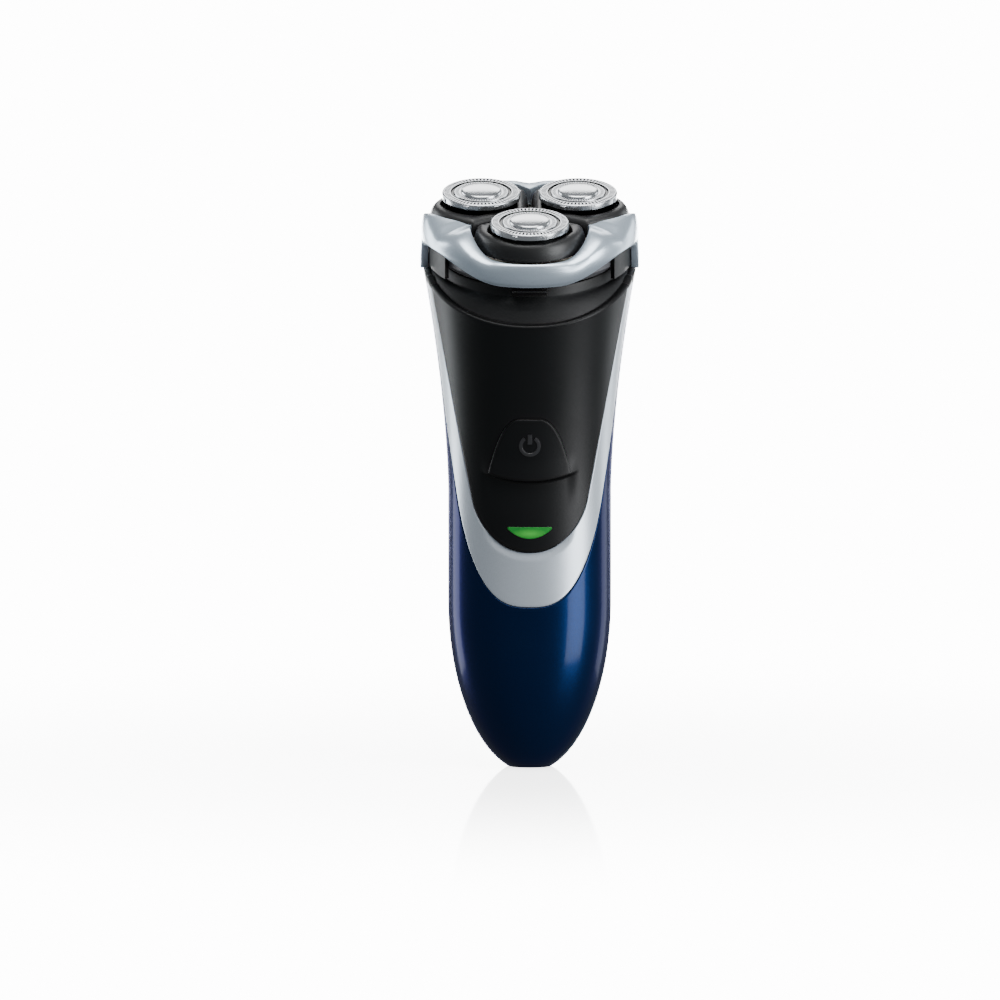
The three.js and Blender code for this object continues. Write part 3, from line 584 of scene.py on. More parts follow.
def make_front_panel():
    right = right_edge(panel_half, PANEL["bottom"], 300)
    edges = [(offset_on_surface(right, -s), d) for s, d in edge_profile(EDGE)]
    for line, _ in edges:
        line[0, 0] = 0
    border = edges[0][0]
    columns = 190
    bottom, top = border[0, 1], border[-1, 1]
    rim = rim_at_front
    share = np.linspace(-1, 1, columns)
    x = border[:, :1] * share[None, :]
    top_x = border[-1, 0] * share
    rise = (rim(top_x) - bottom) / (top - bottom)
    mix = (border[:, 1:] - bottom) / (top - bottom)
    line_rise = 1 + (rise[None, :] - 1) * mix
    z = bottom + (border[:, 1:] - bottom) * line_rise
    depth = ledge_depth(x, z)
    left_lines, right_lines, right_depths = [], [], []
    for line, d in edges[1:]:
        right_lines.append(line)
        left_lines.append(line * np.array([-1, 1]))
        right_depths.append(np.full(len(line), d))
    lines = np.concatenate([
        np.stack(left_lines[::-1], axis=1),
        np.stack([x, z], axis=-1),
        np.stack(right_lines, axis=1),
    ], axis=1)
    edge_depth = np.stack(right_depths, axis=1)
    depth = np.concatenate([edge_depth[:, ::-1], depth, edge_depth], axis=1)
    tip = lines[-1]
    run = np.array([0.0, -1.0])
    rows = [(tip + run * s, np.maximum(depth[-1], d)) for s, d in edge_profile(RIM_EDGE)]
    lines = np.concatenate([lines[:-3], np.array([row for row, _ in rows])])
    depth = np.concatenate([depth[:-3], np.array([d for _, d in rows])])
    surface = on_front(lines)
    panel = shell_from("front_panel_visual", surface, depth, BLACK_GLOSS, "front_panel")
    for outline in (button_outline(SEAM), lens_outline(0.05)):
        cut(panel, *prism(outline, -40, 0, lambda px, pz, py: (px, py, pz)))


def bezier(points, steps):
    a, b, c, d = (np.array(p, dtype=float) for p in points)
    t = np.linspace(0, 1, steps)[:, None]
    return (1 - t) ** 3 * a + 3 * t * (1 - t) ** 2 * b + 3 * t * t * (1 - t) * c + t**3 * d


def grow(outline, margin):
    """A closed counter-clockwise outline moved out by a margin."""
    tangent = np.roll(outline, -1, axis=0) - np.roll(outline, 1, axis=0)
    tangent /= np.linalg.norm(tangent, axis=-1, keepdims=True) + 1e-12
    return outline + margin * np.stack([tangent[:, 1], -tangent[:, 0]], axis=-1)


def resample(outline, steps):
    closed = np.concatenate([outline, outline[:1]])
    run = np.concatenate([[0], np.cumsum(np.linalg.norm(np.diff(closed, axis=0), axis=-1))])
    at = np.linspace(0, run[-1], steps, endpoint=False)
    return np.stack([np.interp(at, run, closed[:, 0]), np.interp(at, run, closed[:, 1])], axis=-1)


def rounded_outline(corners, radius, steps=160):
    """A closed outline with small round corners, evenly spaced."""
    dense = resample(np.array(corners, dtype=float), 1200)
    width = max(1, int(radius * 1200 / np.linalg.norm(np.roll(dense, -1, axis=0) - dense, axis=-1).sum()))
    kernel = np.ones(2 * width + 1) / (2 * width + 1)
    for _ in range(2):
        padded = np.concatenate([dense[-width:], dense, dense[:width]])
        dense = np.stack([np.convolve(padded[:, k], kernel, "valid") for k in (0, 1)], axis=-1)
    return resample(dense, steps)


def button_outline(margin):
    foot_half, top_z = BUTTON["foot"], BUTTON["top_z"]
    corners = [(foot_half, BUTTON["foot_z"]), (9.6, 87.2), (7.2, top_z), (BUTTON["top"], top_z)]
    side = bezier(corners, 40)
    across = np.linspace(-foot_half, foot_half, 30)[1:-1]
    foot = [(x, LEDGE_Z + BUTTON["dip"] * (x / foot_half) ** 2) for x in across]
    corners = np.concatenate([side, side[::-1] * np.array([-1, 1]), foot])
    return grow(rounded_outline(corners, 0.35, 220), margin)


def lens_outline(margin):
    top = [(x, LENS_TOP) for x in np.linspace(LENS_HALF, -LENS_HALF, 20)]
    across = np.linspace(-LENS_HALF, LENS_HALF, 30)
    arc = [(x, LENS_TOP - LENS_DROP + 2.6 * (x / LENS_HALF) ** 2) for x in across]
    return grow(rounded_outline(top + arc, 0.2, 160), margin)


def radial_plate(outline, centre, thickness, proud, edge, rings=24):
    """A plate on the handle's front that fills an outline, with rounded edges."""
    centre = np.array(centre, dtype=float)
    shares = np.linspace(0, 1, rings + 1)[1:]
    rows = [(centre + (grow(outline, -edge) - centre) * s, -proud) for s in shares]
    rows += [(grow(outline, -s), d - proud) for s, d in edge_profile(edge)[1:-1]]
    rows.append((outline, thickness))
    ring = len(outline)
    lines = np.stack([row for row, _ in rows])
    depth = np.stack([np.full(ring, float(d)) for _, d in rows])
    surface = on_front(lines)
    return surface, depth, centre


def front_plate(node, outline, centre, thickness, proud, edge, material, body, relief=None):
    """A rounded plate in the handle's front, in place of a CAD node; relief(x, z) lowers its face."""
    surface, depth, centre = radial_plate(outline, centre, thickness, proud, edge)
    if relief is not None:
        depth = depth + np.where(depth < thickness, relief(surface[..., 0], surface[..., 2]), 0)
    normal = outward(surface)
    outer = surface - normal * depth[..., None]
    rows, ring = depth.shape
    middle = np.array([[centre[0], front_y(centre[0], centre[1]), centre[1]]])
    middle_normal = outward(middle)
    back = surface[-1] - normal[-1] * thickness
    points = np.concatenate([outer.reshape(-1, 3), back, middle + middle_normal * proud,
                             middle - middle_normal * thickness])
    index = np.arange(rows * ring).reshape(rows, ring)
    faces = [list(face) for face in quads(np.concatenate([index, index[:, :1]], axis=1))]
    top, bottom = rows * ring + ring, rows * ring + ring + 1
    faces += [[top, i, (i + 1) % ring] for i in range(ring)]
    last = (rows - 1) * ring
    faces += [[last + i, bottom, last + (i + 1) % ring] for i in range(ring)]
    piece = add_piece(node + "_visual", points, faces, material, body)
    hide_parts(node)


def top_at(angle):
    z = 130 + 0 * angle
    for _ in range(20):
        z = rim_z(around(angle, z)[1])
    return z


def ring_points(angle, z):
    x, y = around(angle, z)
    return np.stack([x, y, z + 0 * x], axis=-1)


def box_solid(x, y, z, matrix=None):
    points = [Vector((a, b, c)) for a in x for b in y for c in z]
    if matrix is not None:
        points = [matrix @ p for p in points]
    faces = [(0, 1, 3, 2), (4, 6, 7, 5), (0, 4, 5, 1), (2, 3, 7, 6), (0, 2, 6, 4), (1, 5, 7, 3)]
    return [tuple(p) for p in points], faces


def back_matrix(z, tilt):
    _, _, back, centre = section(np.array(float(z)))
    return Matrix.Translation((0, float(centre + back), z)) @ Matrix.Rotation(math.radians(tilt), 4, "X")


TRIMMER_MATRIX = back_matrix(119, -12.7)
SLIDE_MATRIX = back_matrix(97, -8.5)


HOUSING_COLUMNS = 240


def rounded_rim(tip, tip_depth):
    """Rows that round the rim's edge, each drawn in to the handle's section at its own height."""
    rows, depths = [], []
    for s, d in edge_profile(RIM_EDGE):
        lowered = tip.copy()
        lowered[:, 2] -= s
        side, front, back, centre = section(lowered[:, 2])
        grown = section(tip[:, 2])
        lowered[:, 0] *= side / grown[0]
        depth_share = np.where(tip[:, 1] < grown[3], front / grown[1], back / grown[2])
        lowered[:, 1] = centre + (tip[:, 1] - grown[3]) * depth_share
        rows.append(lowered)
        depths.append(np.maximum(tip_depth, d))
    return np.array(rows), np.array(depths)


def housing_above_band():
    """Surface points and depths of the shell's back and sides, and the height where they start."""
    right = right_edge(band_half, BAND["bottom"], 230)
    edges = [(offset_on_surface(right, SEAM + s), d) for s, d in edge_profile(EDGE)]
    for line, _ in edges:
        line[0, 0] = 0
    border = edges[0][0]
    start = -np.arccos(np.clip(border[:, 0] / section(border[:, 1])[0], 0, 1) ** (SECTION_POWER / 2))
    share = np.linspace(0, 1, HOUSING_COLUMNS + 1)[None, :]
    angle = start[:, None] + (math.pi - 2 * start[:, None]) * share
    bottom, top = border[0, 1], border[-1, 1]
    ratio = (top_at(angle) - bottom) / (top - bottom)
    ratio = ratio / ratio[:, :1]
    mix = (border[:, 1:] - bottom) / (top - bottom)
    z = bottom + (border[:, 1:] - bottom) * (1 + (ratio - 1) * mix)
    upper = ring_points(angle, z)
    depth = np.zeros(z.shape)
    strips = []
    strip_depths = []
    for line, d in edges[1:]:
        strips.append(on_front(line))
        strip_depths.append(np.full(len(line), d))
    right_strip = np.stack(strips, axis=1)
    edge_depth = np.stack(strip_depths, axis=1)
    left_strip = right_strip * np.array([-1, 1, 1])
    upper = np.concatenate([right_strip[:, ::-1], upper, left_strip], axis=1)
    depth = np.concatenate([edge_depth[:, ::-1], depth, edge_depth], axis=1)
    rim_rows, rim_depths = rounded_rim(upper[-1], depth[-1])
    upper = np.concatenate([upper[:-3], rim_rows])
    depth = np.concatenate([depth[:-3], rim_depths])
    return upper, depth, bottom


def housing_below_band(top):
    """Surface points of the closed cup from the foot up to a height."""
    z = top * np.linspace(0, 1, 60)[:, None] ** 1.7
    angle = -math.pi / 2 + 2 * math.pi * np.linspace(0, 1, HOUSING_COLUMNS + 1)[None, :]
    return ring_points(angle + 0 * z, z + 0 * angle)


def make_rear_housing():
    """The blue shell: a cup below the band, and the back and sides above it."""
    upper, depth, bottom = housing_above_band()
    lower = housing_below_band(bottom)
    normal = outward(upper)
    cup_inside = lower - outward(lower) * WALL
    blocks = [upper - normal * depth[..., None], upper - normal * WALL, lower, cup_inside]
    faces, starts, total = [], [], 0
    for number, block in enumerate(blocks):
        rows, count = block.shape[:2]
        faces.append(grid_faces(rows, count, total, flip=number % 2 == 1))
        starts.append(total)
        total += rows * count
    faces = [list(face) for face in np.concatenate(faces)]
    foot_centres = np.array([[0, 0, 0], [0, 0, float(cup_inside[0, :, 2].mean())]])
    points = np.concatenate([block.reshape(-1, 3) for block in blocks] + [foot_centres])
    _, _, outer, inner = starts
    for i in range(HOUSING_COLUMNS):
        faces.append([total, outer + i + 1, outer + i])
        faces.append([total + 1, inner + i, inner + i + 1])
    shell = add_piece("rear_housing_visual", points, faces, BLUE, "handle")
    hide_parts("rear_housing")
    open_back(shell)
    # painted shade: the shell's front faces just under the rim turn black, standing for the head's shade
    paint_shade_under_rim(shell, 2.6, 3)


def open_back(shell):
    """Cuts the openings for the trimmer, the hinge, the slide and the inlet."""
    margin = 0.2
    trimmer_half = 14 + margin
    cut(shell, *box_solid((-trimmer_half, trimmer_half), (-8, 8), (-12.8 - margin, 13 + margin),
                          TRIMMER_MATRIX))
    cut(shell, *box_solid((-8.4, 8.4), (22, 34), (-20, -10), head_matrix))
    cut(shell, *box_solid((-2.4, 2.4), (-6, 4), (-7, 3), SLIDE_MATRIX))
    inlet_half, inlet_front, inlet_back, inlet_wall = 5.25, 5.2, 11.7, 1.3 + margin
    cut(shell, *box_solid((-inlet_half - inlet_wall, inlet_half + inlet_wall),
                          (inlet_front - inlet_wall, inlet_back + inlet_wall), (-4, 30)))


# ---- the head ----
def cap_centre(azimuth):
    angle = math.radians(azimuth)
    return CAP_CIRCLE * math.cos(angle), CAP_CIRCLE * math.sin(angle)


def lobe_radius(turn):
    along = LOBE_CENTRE * math.cos(turn)
    return along + math.sqrt(along**2 - LOBE_CENTRE**2 + LOBE_RADIUS**2)


def scalar_step(value, low, high):
    share = min(1, max(0, (value - low) / (high - low)))
    return share * share * (3 - 2 * share)


def bump_at(distance, reach):
    return math.cos(math.pi / 2 * distance / reach) ** 2 if distance < reach else 0


def degrees_between(a, b):
    return abs((a - b + 180) % 360 - 180)


def ring_top(off, at_front):
    start, end = (20, 50) if at_front else (5, 38)
    return RING_LOW + 4.6 * scalar_step(off, start, end) - 0.5 * scalar_step(off, 50, 60)


def ring_radius(w):
    return RING_RADIUS - max(0, 0.05 * (w + 14))


def flare_out(degrees):
    """How far the rear petals reach out past their lobes at the head's two sides."""
    return 1.9 * bump_at(min(degrees_between(degrees, 5), degrees_between(degrees, 175)), 28)


def shade_curve(start, first, second, end, steps):
    """Points along a cubic curve, without its first point."""
    return [tuple(p) for p in bezier([start, first, second, end], steps + 1)[1:]]


RING_LOW = -7.3
RING_RADIUS = 29.7
RING_BORE = 27.75
ARCHES = (29, 151, 209, 331)
TAB_HALF = 9


def ring_profile(degrees):
    """The rows of the ring's section at one azimuth, as [radius, height]."""
    off = min(degrees_between(degrees, azimuth) for azimuth in CAP_AZIMUTHS)
    top = ring_top(off, degrees_between(degrees, CAP_AZIMUTHS[0]) <= 60)
    arch = max(bump_at(degrees_between(degrees, a), 46) for a in ARCHES)
    tab_distance = min(degrees_between(degrees, 0), degrees_between(degrees, 180))
    tab = 1 - scalar_step(tab_distance, TAB_HALF - 1.2, TAB_HALF + 0.6)
    bottom = (-14 + 5.4 * arch) * (1 - tab) - 17.6 * tab
    inner = min(28.2, lobe_radius(math.radians(off)) + 0.6 + flare_out(degrees))
    shoulder = min(-8.3, top - 3.0)
    tuck = 1.1 * (1 - arch) * (1 - tab)
    low = bottom + 0.35
    side = []
    for i in range(9):
        share = i / 8
        w = low + (shoulder - low) * share
        side.append((ring_radius(w) - tuck * (1 - share) ** 2.2, w))
    foot = side[0][0]
    lower = [(RING_BORE, bottom + 0.05), (foot - 0.4, bottom), (foot - 0.1, bottom + 0.1)]
    reach = side[-1][0] - inner
    crown = shade_curve(side[-1], (side[-1][0] + 0.02, shoulder + 0.62 * (top - shoulder)),
                        (inner + 0.62 * reach, top - 0.05 * (top - shoulder)), (inner + 0.35, top), 10)
    lip = [(inner + 0.1, top - 0.1), (inner, top - 0.35)]
    inside = [(inner, min(top - 0.8, -7.9)), (RING_BORE, max(-8.6, bottom + 0.4))]
    return lower + side + crown + lip + inside


def make_shaving_frame():
    steps = 1080
    profiles = [ring_profile(360 * step / steps) for step in range(steps)]
    points = []
    for step, profile in enumerate(profiles):
        angle = 2 * math.pi * step / steps
        points += [(r * math.cos(angle), r * math.sin(angle), w) for r, w in profile]
    faces = looped_faces(steps, len(profiles[0]))
    ring = add_piece("shaving_frame_visual", points, faces, FRAME, "shaving_unit", 32,
                     head_matrix)
    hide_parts("shaving_frame")


def make_ring_liner(side):
    """The dark wall inside the ring, seen through the gaps on both sides of each tab."""
    facing = 0 if side > 0 else 180
    section_rows = [(26.3, -9.2), (26.3, -16.4), (27.5, -16.4), (27.5, -9.2)]
    turns = [math.radians(facing + step) for step in np.linspace(-34, 34, 69)]
    points = [(r * math.cos(t), r * math.sin(t), w) for t in turns for r, w in section_rows]
    faces = rod_faces(len(turns), len(section_rows))
    name = "ring_liner_right" if side > 0 else "ring_liner_left"
    add_piece(name, points, faces, BLACK_GLOSS, "shaving_unit", 35, head_matrix)


def petal_outline(azimuth, inset):
    """A petal seen from above: a round lobe, and two straight seams that meet at the head's middle."""
    seam = 0.5
    limit = math.radians(60)
    lobe = []
    for turn in np.linspace(-limit, limit, 121):
        radius = lobe_radius(turn) + flare_out(azimuth + math.degrees(turn))
        lobe.append((radius * math.cos(turn), radius * math.sin(turn)))
    closed = rounded_outline([(0, 0)] + lobe, 1.0, 360)
    closed = grow(closed, -seam - inset)
    turn = math.radians(azimuth)
    spin = np.array([[math.cos(turn), math.sin(turn)], [-math.sin(turn), math.cos(turn)]])
    return closed @ spin


def make_petal(number, azimuth):
    """A satin lobe with a soft rounded top and a round hole for the cap."""
    body = f"petal_{number}"
    edge = [(2.7, 0), (2.3, -0.05), (1.9, -0.17), (1.5, -0.38), (1.1, -0.72), (0.75, -1.2),
            (0.45, -1.85), (0.2, -2.65), (0.05, -3.5)]  # distance in from the outline, and height
    x0, y0 = cap_centre(azimuth)
    hole = 11.3
    count = 360
    outer_rows = [(petal_outline(azimuth, 0), PETAL_BOTTOM)]
    outer_rows += [(petal_outline(azimuth, s), PETAL_TOP + w) for s, w in reversed(edge)]
    start = outer_rows[-1][0]
    angles = np.unwrap(np.arctan2(start[:, 1] - y0, start[:, 0] - x0))

    def circle(radius):
        return np.stack([x0 + radius * np.cos(angles), y0 + radius * np.sin(angles)], axis=-1)

    reach = np.linalg.norm(start - np.array([x0, y0]), axis=-1)
    lip = np.minimum(hole + 0.5, reach - 0.02)
    inner_rows = []
    for share in (0.25, 0.5, 0.75):
        inner_rows.append((start + (circle(lip) - start) * share, PETAL_TOP))
    inner_rows.append((circle(lip), PETAL_TOP))
    for s, w in ((0.25, -0.06), (0.08, -0.2), (0, -0.5)):
        inner_rows.append((circle(np.minimum(hole + s, reach - 0.02)), PETAL_TOP + w))
    inner_rows.append((circle(hole), PETAL_BOTTOM))
    rows = outer_rows + inner_rows
    points = [(x, y, w) for line, w in rows for x, y in line]
    faces = looped_faces(len(rows), count)
    petal = add_piece(f"petal_{number}_visual", points, faces, PETAL, body, 40, head_matrix)
    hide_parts(f"petal_{number}")


OUTER_SLOTS = 60
INNER_SLOTS = 60
TABS = 8


def cap_height(radius, angle):
    """The top of a slotted cap, with its slots cut a little way down."""
    if radius > 10.2:
        return -0.5 * (radius - 10.2) / 0.4
    if 8.3 <= radius <= 10.2:
        phase = (angle * OUTER_SLOTS / (2 * math.pi)) % 1
        inside = 8.55 < radius < 9.95
        return -0.42 if inside and phase < 0.45 else 0
    if 7.45 <= radius < 8.3:
        return -0.4
    if 5.9 <= radius < 7.2:
        phase = (angle * INNER_SLOTS / (2 * math.pi)) % 1
        return -0.36 if 6.1 < radius < 6.95 and phase < 0.42 else 0
    return 0


def make_cap(number, azimuth):
    """The slotted steel cap: a disc with two slotted tracks, a groove between them and a thin rim."""
    x0, y0 = cap_centre(azimuth)
    place = head_matrix @ Matrix.Translation((x0, y0, 0))
    steps = 720
    top_radii = [5.3, 5.9, 6.08, 6.12, 6.93, 6.97, 7.2, 7.45, 7.47, 8.27, 8.3, 8.53, 8.57, 9.93, 9.97,
                 10.12, 10.2]
    rows = [(radius, None) for radius in top_radii]
    rows += [(10.42, -0.12), (10.56, -0.32), (10.6, -0.55), (10.6, -1.45), (10.45, -1.55), (9.75, -1.6),
             (9.7, -4.5), (9.2, -4.5), (9.2, -0.9), (5.3, -0.9)]
    points = []
    for step in range(steps):
        angle = 2 * math.pi * step / steps
        for radius, height in rows:
            tab = 0
            if radius >= 10.6:
                tab_phase = abs((angle * TABS / (2 * math.pi)) % 1 - 0.5)
                tab = 0.22 * (tab_phase < 0.07)
            w = cap_height(radius, angle + 1e-6) if height is None else height
            points.append(((radius + tab) * math.cos(angle), (radius + tab) * math.sin(angle), w))
    faces = looped_faces(steps, len(rows))
    body = f"cap_{number}"
    cap = add_piece(f"shaving_cap_{number}_visual", points, faces, CAP, body, 25, place)
    store_radius(cap, place)
    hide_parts(f"shaving_cap_{number}")
    make_centre_cap(number, place)


def make_centre_cap(number, place):
    """The smooth domed disc in the middle of a cap."""
    dome = [(0, 1.15), (1.6, 1.12), (3.2, 1.0), (4.4, 0.8), (5.1, 0.6), (5.4, 0.42), (5.5, 0.2),
            (5.5, 0.0), (5.2, 0.0), (5.2, -0.6), (0, -0.6)]
    points, faces = turned(dome, 128)
    name, body = f"centre_cap_{number}_visual", f"cap_{number}"
    centre = add_piece(name, points, faces, CENTRE, body, 35, place)
    store_radius(centre, place)
    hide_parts(f"centre_cap_{number}")


def store_radius(piece, place):
    """Keeps each point's distance from the cap's axis, for the turned finish, and marks the slot bottoms and
    the skirt under the rim for painted shade.
    """
    back = place.inverted()
    radii = []
    painted_shade = []
    for vertex in piece.data.vertices:
        local = back @ (vertex.co / MM)
        radius = math.hypot(local.x, local.y)
        radii.append(radius * MM)
        # slot bottoms and the skirt below the rim are marked for painted shade
        slotted = radius < 10.15 and local.z < -0.2
        painted_shade.append(1.0 if slotted or local.z < -1.52 else 0.0)
    for name, values in (("radius", radii), ("painted_shade", painted_shade)):
        layer = piece.data.attributes.new(name, "FLOAT", "POINT")
        layer.data.foreach_set("value", values)


def rod_solid(axis, radius, low, high, centre, matrix=None, sides=48):
    """A cylinder along X or Z for cutting, with its centre given in the other two directions."""
    def lift(a, b, depth):
        point = Vector((depth, a, b)) if axis == "X" else Vector((a, b, depth))
        return tuple(matrix @ point) if matrix is not None else tuple(point)
    turns = [2 * math.pi * i / sides for i in range(sides)]
    outline = [(centre[0] + radius * math.cos(t), centre[1] + radius * math.sin(t)) for t in turns]
    return prism(outline, low, high, lift)


def rim_ring(angle, inset, drop):
    """The point under the handle's rim at an angle, set in from the outer surface."""
    z = float(top_at(np.array([angle]))[0]) - drop
    point = ring_points(np.array([angle]), np.array([z]))
    return (point - outward(point) * inset)[0]


HINGE = {"v": 25.5, "w": -17.2, "radius": 2.0, "pin": 0.9}


def make_top_deck():
    """The dark shoulder between the rim and the shaving unit, with its spindle holes and hinge lugs."""
    fit = WALL + 0.05
    segments = 200
    def ring(radius, w):
        def at(angle):
            return np.array(head_matrix @ Vector((radius * math.cos(angle), radius * math.sin(angle), w)))
        return at
    def between(first, second, share, lift):
        def place(angle):
            a, b = first(angle), second(angle)
            return a + (b - a) * share + np.array([0, 0, lift])
        return place
    inner = ring(24.6, -18.3)
    outer = lambda angle: rim_ring(angle, fit, 0.35)
    rows = [ring(0, -15.6), ring(23.2, -15.6), ring(23.6, -15.75), ring(23.8, -16.1),
            ring(24.3, -17.9), inner]
    for share in (0.2, 0.4, 0.6, 0.8, 0.93):
        rows.append(between(inner, outer, share, 0.9 * math.sin(math.pi * share)))
    rows += [outer, lambda angle: rim_ring(angle, fit, 3), lambda angle: rim_ring(angle, fit + 1.4, 3)]
    rows += [lambda angle: rim_ring(angle, fit + 1.4, 1.6), ring(23, -19.9), ring(22, -17.1), ring(0, -17.1)]
    turns = [2 * math.pi * (step % segments) / segments for step in range(segments + 1)]
    points = [row(turn) for turn in turns for row in rows]
    faces = grid_faces(segments + 1, len(rows))
    deck = add_piece("top_deck_visual", points, faces, BLACK, "handle", 50)
    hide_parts("top_deck")
    cut(deck, *box_solid((-4.6, 4.6), (HINGE["v"] - 2.7, 34), (-19.8, -10), head_matrix))
    for azimuth in CAP_AZIMUTHS:
        cut(deck, *rod_solid("Z", 2.5, -21, -12, cap_centre(azimuth), head_matrix))
    cut(deck, *box_solid((-TAB_WIDTH - 0.12, TAB_WIDTH + 0.12), (-25.7, -17), (129.0, 130.62)))
    for side in (-1, 1):
        make_deck_lug(side)


def make_deck_lug(side):
    v, w, radius = HINGE["v"], HINGE["w"], HINGE["radius"]
    arc = [(v + radius * math.cos(t), w + radius * math.sin(t)) for t in np.linspace(-0.9, math.pi, 24)]
    outline = [(v - 3, w), (v - 3, w - 1.8), (v + 0.6, w - 1.8)] + arc
    low, high = sorted((4.6 * side, 8 * side))
    points, faces = prism(outline, low, high, lambda a, b, depth: tuple(head_matrix @ Vector((depth, a, b))))
    name = "deck_lug_left" if side < 0 else "deck_lug_right"
    lug = add_piece(name, points, faces, BLACK, "handle")
    cut(lug, *rod_solid("X", HINGE["pin"] + 0.2, low - 1, high + 1, (v, w), head_matrix))


TAB_WIDTH = 4.55


def make_release_button():
    """A slim thumb tab under the front of the head."""
    outline = [(-24.9, 130.5), (-24.9, 129.95), (-21, 129.1), (-19.2, 129.1), (-19.2, 130.5)]
    points, faces = prism(outline, -TAB_WIDTH, TAB_WIDTH, lambda a, b, depth: (depth, a, b))
    tab = add_piece("release_button_visual", points, faces, BLACK, "release_key")
    round_edges(tab, 0.28)
    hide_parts("release_button")


def make_power_icon():
    """A raised power sign on the button: a ring open at the top, and a bar in the opening."""
    middle, width, opening = 2.42, 0.95, math.radians(34)
    height, bevel, root = 0.16, 0.1, 0.1
    points = []

    def bar_section(x, z, nx, nz, across):
        """The flat-topped section of a raised line, across the direction [nx, nz]."""
        half = across / 2
        for side, up in ((-half, -root), (-half, height - bevel), (bevel - half, height),
                         (half - bevel, height), (half, height - bevel), (half, -root)):
            base = np.array([[x + nx * side, 0, z + nz * side]])
            base[:, 1] = front_y(base[:, 0], base[:, 2])
            points.append((base + outward(base) * (BUTTON["proud"] + up))[0])

    turns = np.linspace(math.pi / 2 + opening, math.pi / 2 - opening + 2 * math.pi, 72)
    for t in turns:
        bar_section(middle * math.cos(t), ICON_Z + middle * math.sin(t), math.cos(t), math.sin(t), width)
    bars = np.linspace(ICON_Z + 0.5, ICON_Z + 3.1, 8)
    for z in bars:
        bar_section(0, z, -1, 0, 1.2)
    corners = 6
    faces = rod_faces(len(turns), corners) + rod_faces(len(bars), corners, corners * len(turns))
    add_piece("power_icon", points, faces, ICON, "power_key", 30)


# ---- the CAD nodes that stay as they are ----
KEPT = {
    "motor_armature": MOTOR, "motor_end_cap": NYLON, "chassis": GREY, "battery": WRAP,
    "battery_contact_bottom": BRASS, "battery_contact_top": BRASS, "circuit_board": BOARD,
    "power_switch": BLACK, "status_led": LENS, "inlet_socket": BLACK, "inlet_pin_left": BRASS,
    "inlet_pin_right": BRASS, "motor_can": MOTOR, "gear_plate": STEEL, "trimmer_housing": BLACK,
    "trimmer_pin": STEEL, "motor_pinion": BRASS, "hair_chamber": GREY, "retaining_frame": NYLON,
    "hinge_pin": STEEL, "lock_wheel": NYLON, "trimmer_arm": BLACK, "trimmer_comb": STEEL,
    "trimmer_blade": CUTTER, "trimmer_slide": BLACK,
}
for number in range(1, 5):
    KEPT[f"chassis_screw_{number}"] = STEEL
for number in range(1, 4):
    KEPT[f"drive_gear_{number}"] = NYLON
    KEPT[f"drive_spindle_{number}"] = STEEL
    KEPT[f"rotary_cutter_{number}"] = CUTTER


def dress_kept_nodes():
    for name, material in KEPT.items():
        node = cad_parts.get(name)
        if node is None:
            print("no node", name)
            continue
        node.data.materials.clear()
        node.data.materials.append(material)


# ---- light, floor and camera ----
def make_world():
    """A white room to look at, which lights the object more softly than it looks."""
    world = bpy.data.worlds.new("soft_room")
    world.use_nodes = True
    tree = world.node_tree
    seen = tree.nodes["Background"]
    set_inputs(seen, Color=(1, 1, 1, 1), Strength=14.0)
    room = add_node(tree, "ShaderNodeBackground", Color=(0.9, 0.95, 1.0, 1), Strength=0.32)
    path = add_node(tree, "ShaderNodeLightPath")
    mix = add_node(tree, "ShaderNodeMixShader")
    join(path, "Is Camera Ray", mix, "Fac")
    join(room, "Background", mix, 1)
    join(seen, "Background", mix, 2)
    join(mix, "Shader", tree.nodes["World Output"], "Surface")
    bpy.context.scene.world = world


def floor_material():
    """Pale lacquer with a faint mirror, fading out into the white room away from the object."""
    made = surface_material("floor_paint", "f4f5f6", 0.9, tint=0.01, grain=40, bump=0.0, specular=0.0)
    tree = made.node_tree
    paint = tree.nodes["Principled BSDF"]
    set_inputs(paint, Emission_Color=(1, 1, 1, 1), Emission_Strength=4.5)
    mirror = add_node(tree, "ShaderNodeBsdfGlossy", Roughness=0.06)
    lacquer = add_node(tree, "ShaderNodeMixShader", Fac=0.3)
    join(paint, "BSDF", lacquer, 1)
    join(mirror, "BSDF", lacquer, 2)
    place = add_node(tree, "ShaderNodeTexCoord")
    length = add_node(tree, "ShaderNodeVectorMath")
    length.operation = "LENGTH"
    join(place, "Object", length, 0)
    fade = add_node(tree, "ShaderNodeMapRange")
    fade.interpolation_type = "SMOOTHSTEP"
    set_inputs(fade, From_Min=0.03, From_Max=0.33)
    join(length, "Value", fade, "Value")
    path = add_node(tree, "ShaderNodeLightPath")
    unseen = add_node(tree, "ShaderNodeMath")
    unseen.operation = "SUBTRACT"
    unseen.inputs[0].default_value = 1
    join(path, "Is Camera Ray", unseen, 1)
    most = add_node(tree, "ShaderNodeMath")
    most.operation = "MAXIMUM"
    join(fade, "Result", most, 0)
    join(unseen, "Value", most, 1)
    clear = add_node(tree, "ShaderNodeBsdfTransparent")
    mix = add_node(tree, "ShaderNodeMixShader")
    join(most, "Value", mix, "Fac")
    join(lacquer, "Shader", mix, 1)
    join(clear, "BSDF", mix, 2)
    join(mix, "Shader", tree.nodes["Material Output"], "Surface")
    return made


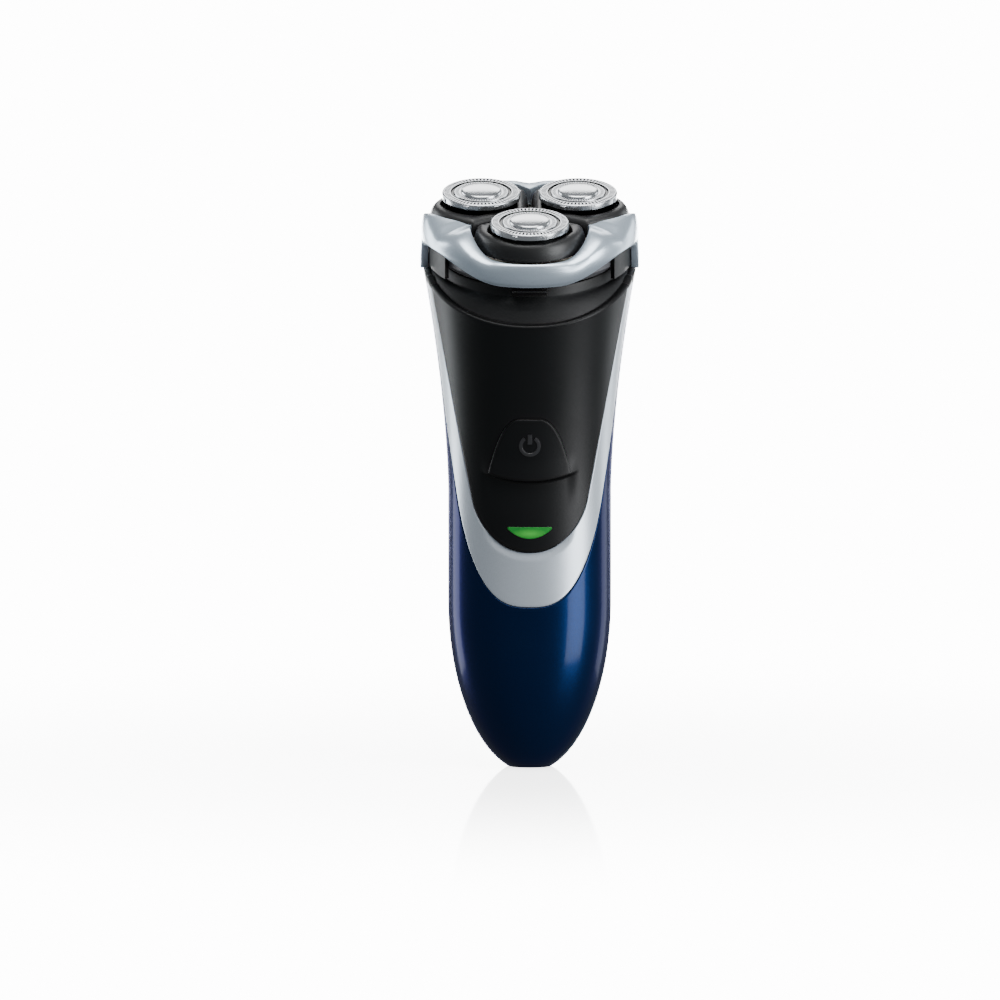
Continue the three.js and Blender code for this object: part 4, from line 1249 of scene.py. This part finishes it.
def softbox(name, azimuth, elevation, distance, size, power, colour=(1, 1, 1)):
    """A soft light round the object: azimuth 0 is the front, and 90 the right."""
    turn, lift = math.radians(azimuth), math.radians(elevation)
    target = Vector((0, 0, 0.085))
    away = Vector((math.sin(turn) * math.cos(lift), -math.cos(turn) * math.cos(lift), math.sin(lift)))
    light = bpy.data.lights.new(name, "AREA")
    light.shape = "RECTANGLE"
    light.size, light.size_y = size
    light.energy = power
    light.color = colour
    box = bpy.data.objects.new(name, light)
    bpy.context.collection.objects.link(box)
    box.location = target + away * distance
    box.rotation_euler = (-away).to_track_quat("-Z", "Y").to_euler()
    box.visible_camera = False


def make_stage():
    make_world()
    bpy.ops.mesh.primitive_circle_add(vertices=128, radius=0.42, fill_type="NGON", location=(0, 0, 0))
    floor = bpy.context.object
    floor.name = "floor"
    floor.data.materials.append(floor_material())
    softbox("right_key", 56, 10, 0.9, (0.45, 0.9), 15, (0.96, 0.98, 1))
    softbox("left_back", -118, 8, 0.9, (0.4, 0.9), 9, (0.93, 0.97, 1))
    softbox("right_back", 122, 8, 0.9, (0.35, 0.9), 4, (0.93, 0.97, 1))
    softbox("high_back", 180, 40, 0.9, (0.5, 0.35), 2.6)
    softbox("backdrop", 180, 2, 1.2, (1.4, 0.3), 30)
    softbox("top_box", 0, 74, 0.8, (0.6, 0.5), 9)


def make_camera():
    lens = bpy.data.cameras.new("camera")
    lens.lens = 600
    lens.sensor_width = 36
    lens.clip_end = 50
    camera = bpy.data.objects.new("camera", lens)
    bpy.context.collection.objects.link(camera)
    elevation = math.radians(5)
    aim = Vector((-0.008, 0, 0.0721))
    camera.location = aim + 4.5 * Vector((0, -math.cos(elevation), math.sin(elevation)))
    camera.rotation_euler = (math.pi / 2 - elevation, 0, 0)
    bpy.context.scene.camera = camera


make_camera()
make_stage()
make_rear_housing()
make_trim_band()
make_front_panel()
front_plate("power_button", button_outline(0), (0, 86.2), BUTTON["depth"], BUTTON["proud"], 0.35,
            BLACK_GLOSS, "power_key", ledge_depth)
front_plate("led_lens", lens_outline(0), (0, 64.9), 1.7, 0.0, 0.12, LENS, "handle")
make_shaving_frame()
make_ring_liner(-1)
make_ring_liner(1)
for number, azimuth in enumerate(CAP_AZIMUTHS, start=1):
    make_petal(number, azimuth)
    make_cap(number, azimuth)
make_top_deck()
make_release_button()
make_power_icon()
dress_kept_nodes()
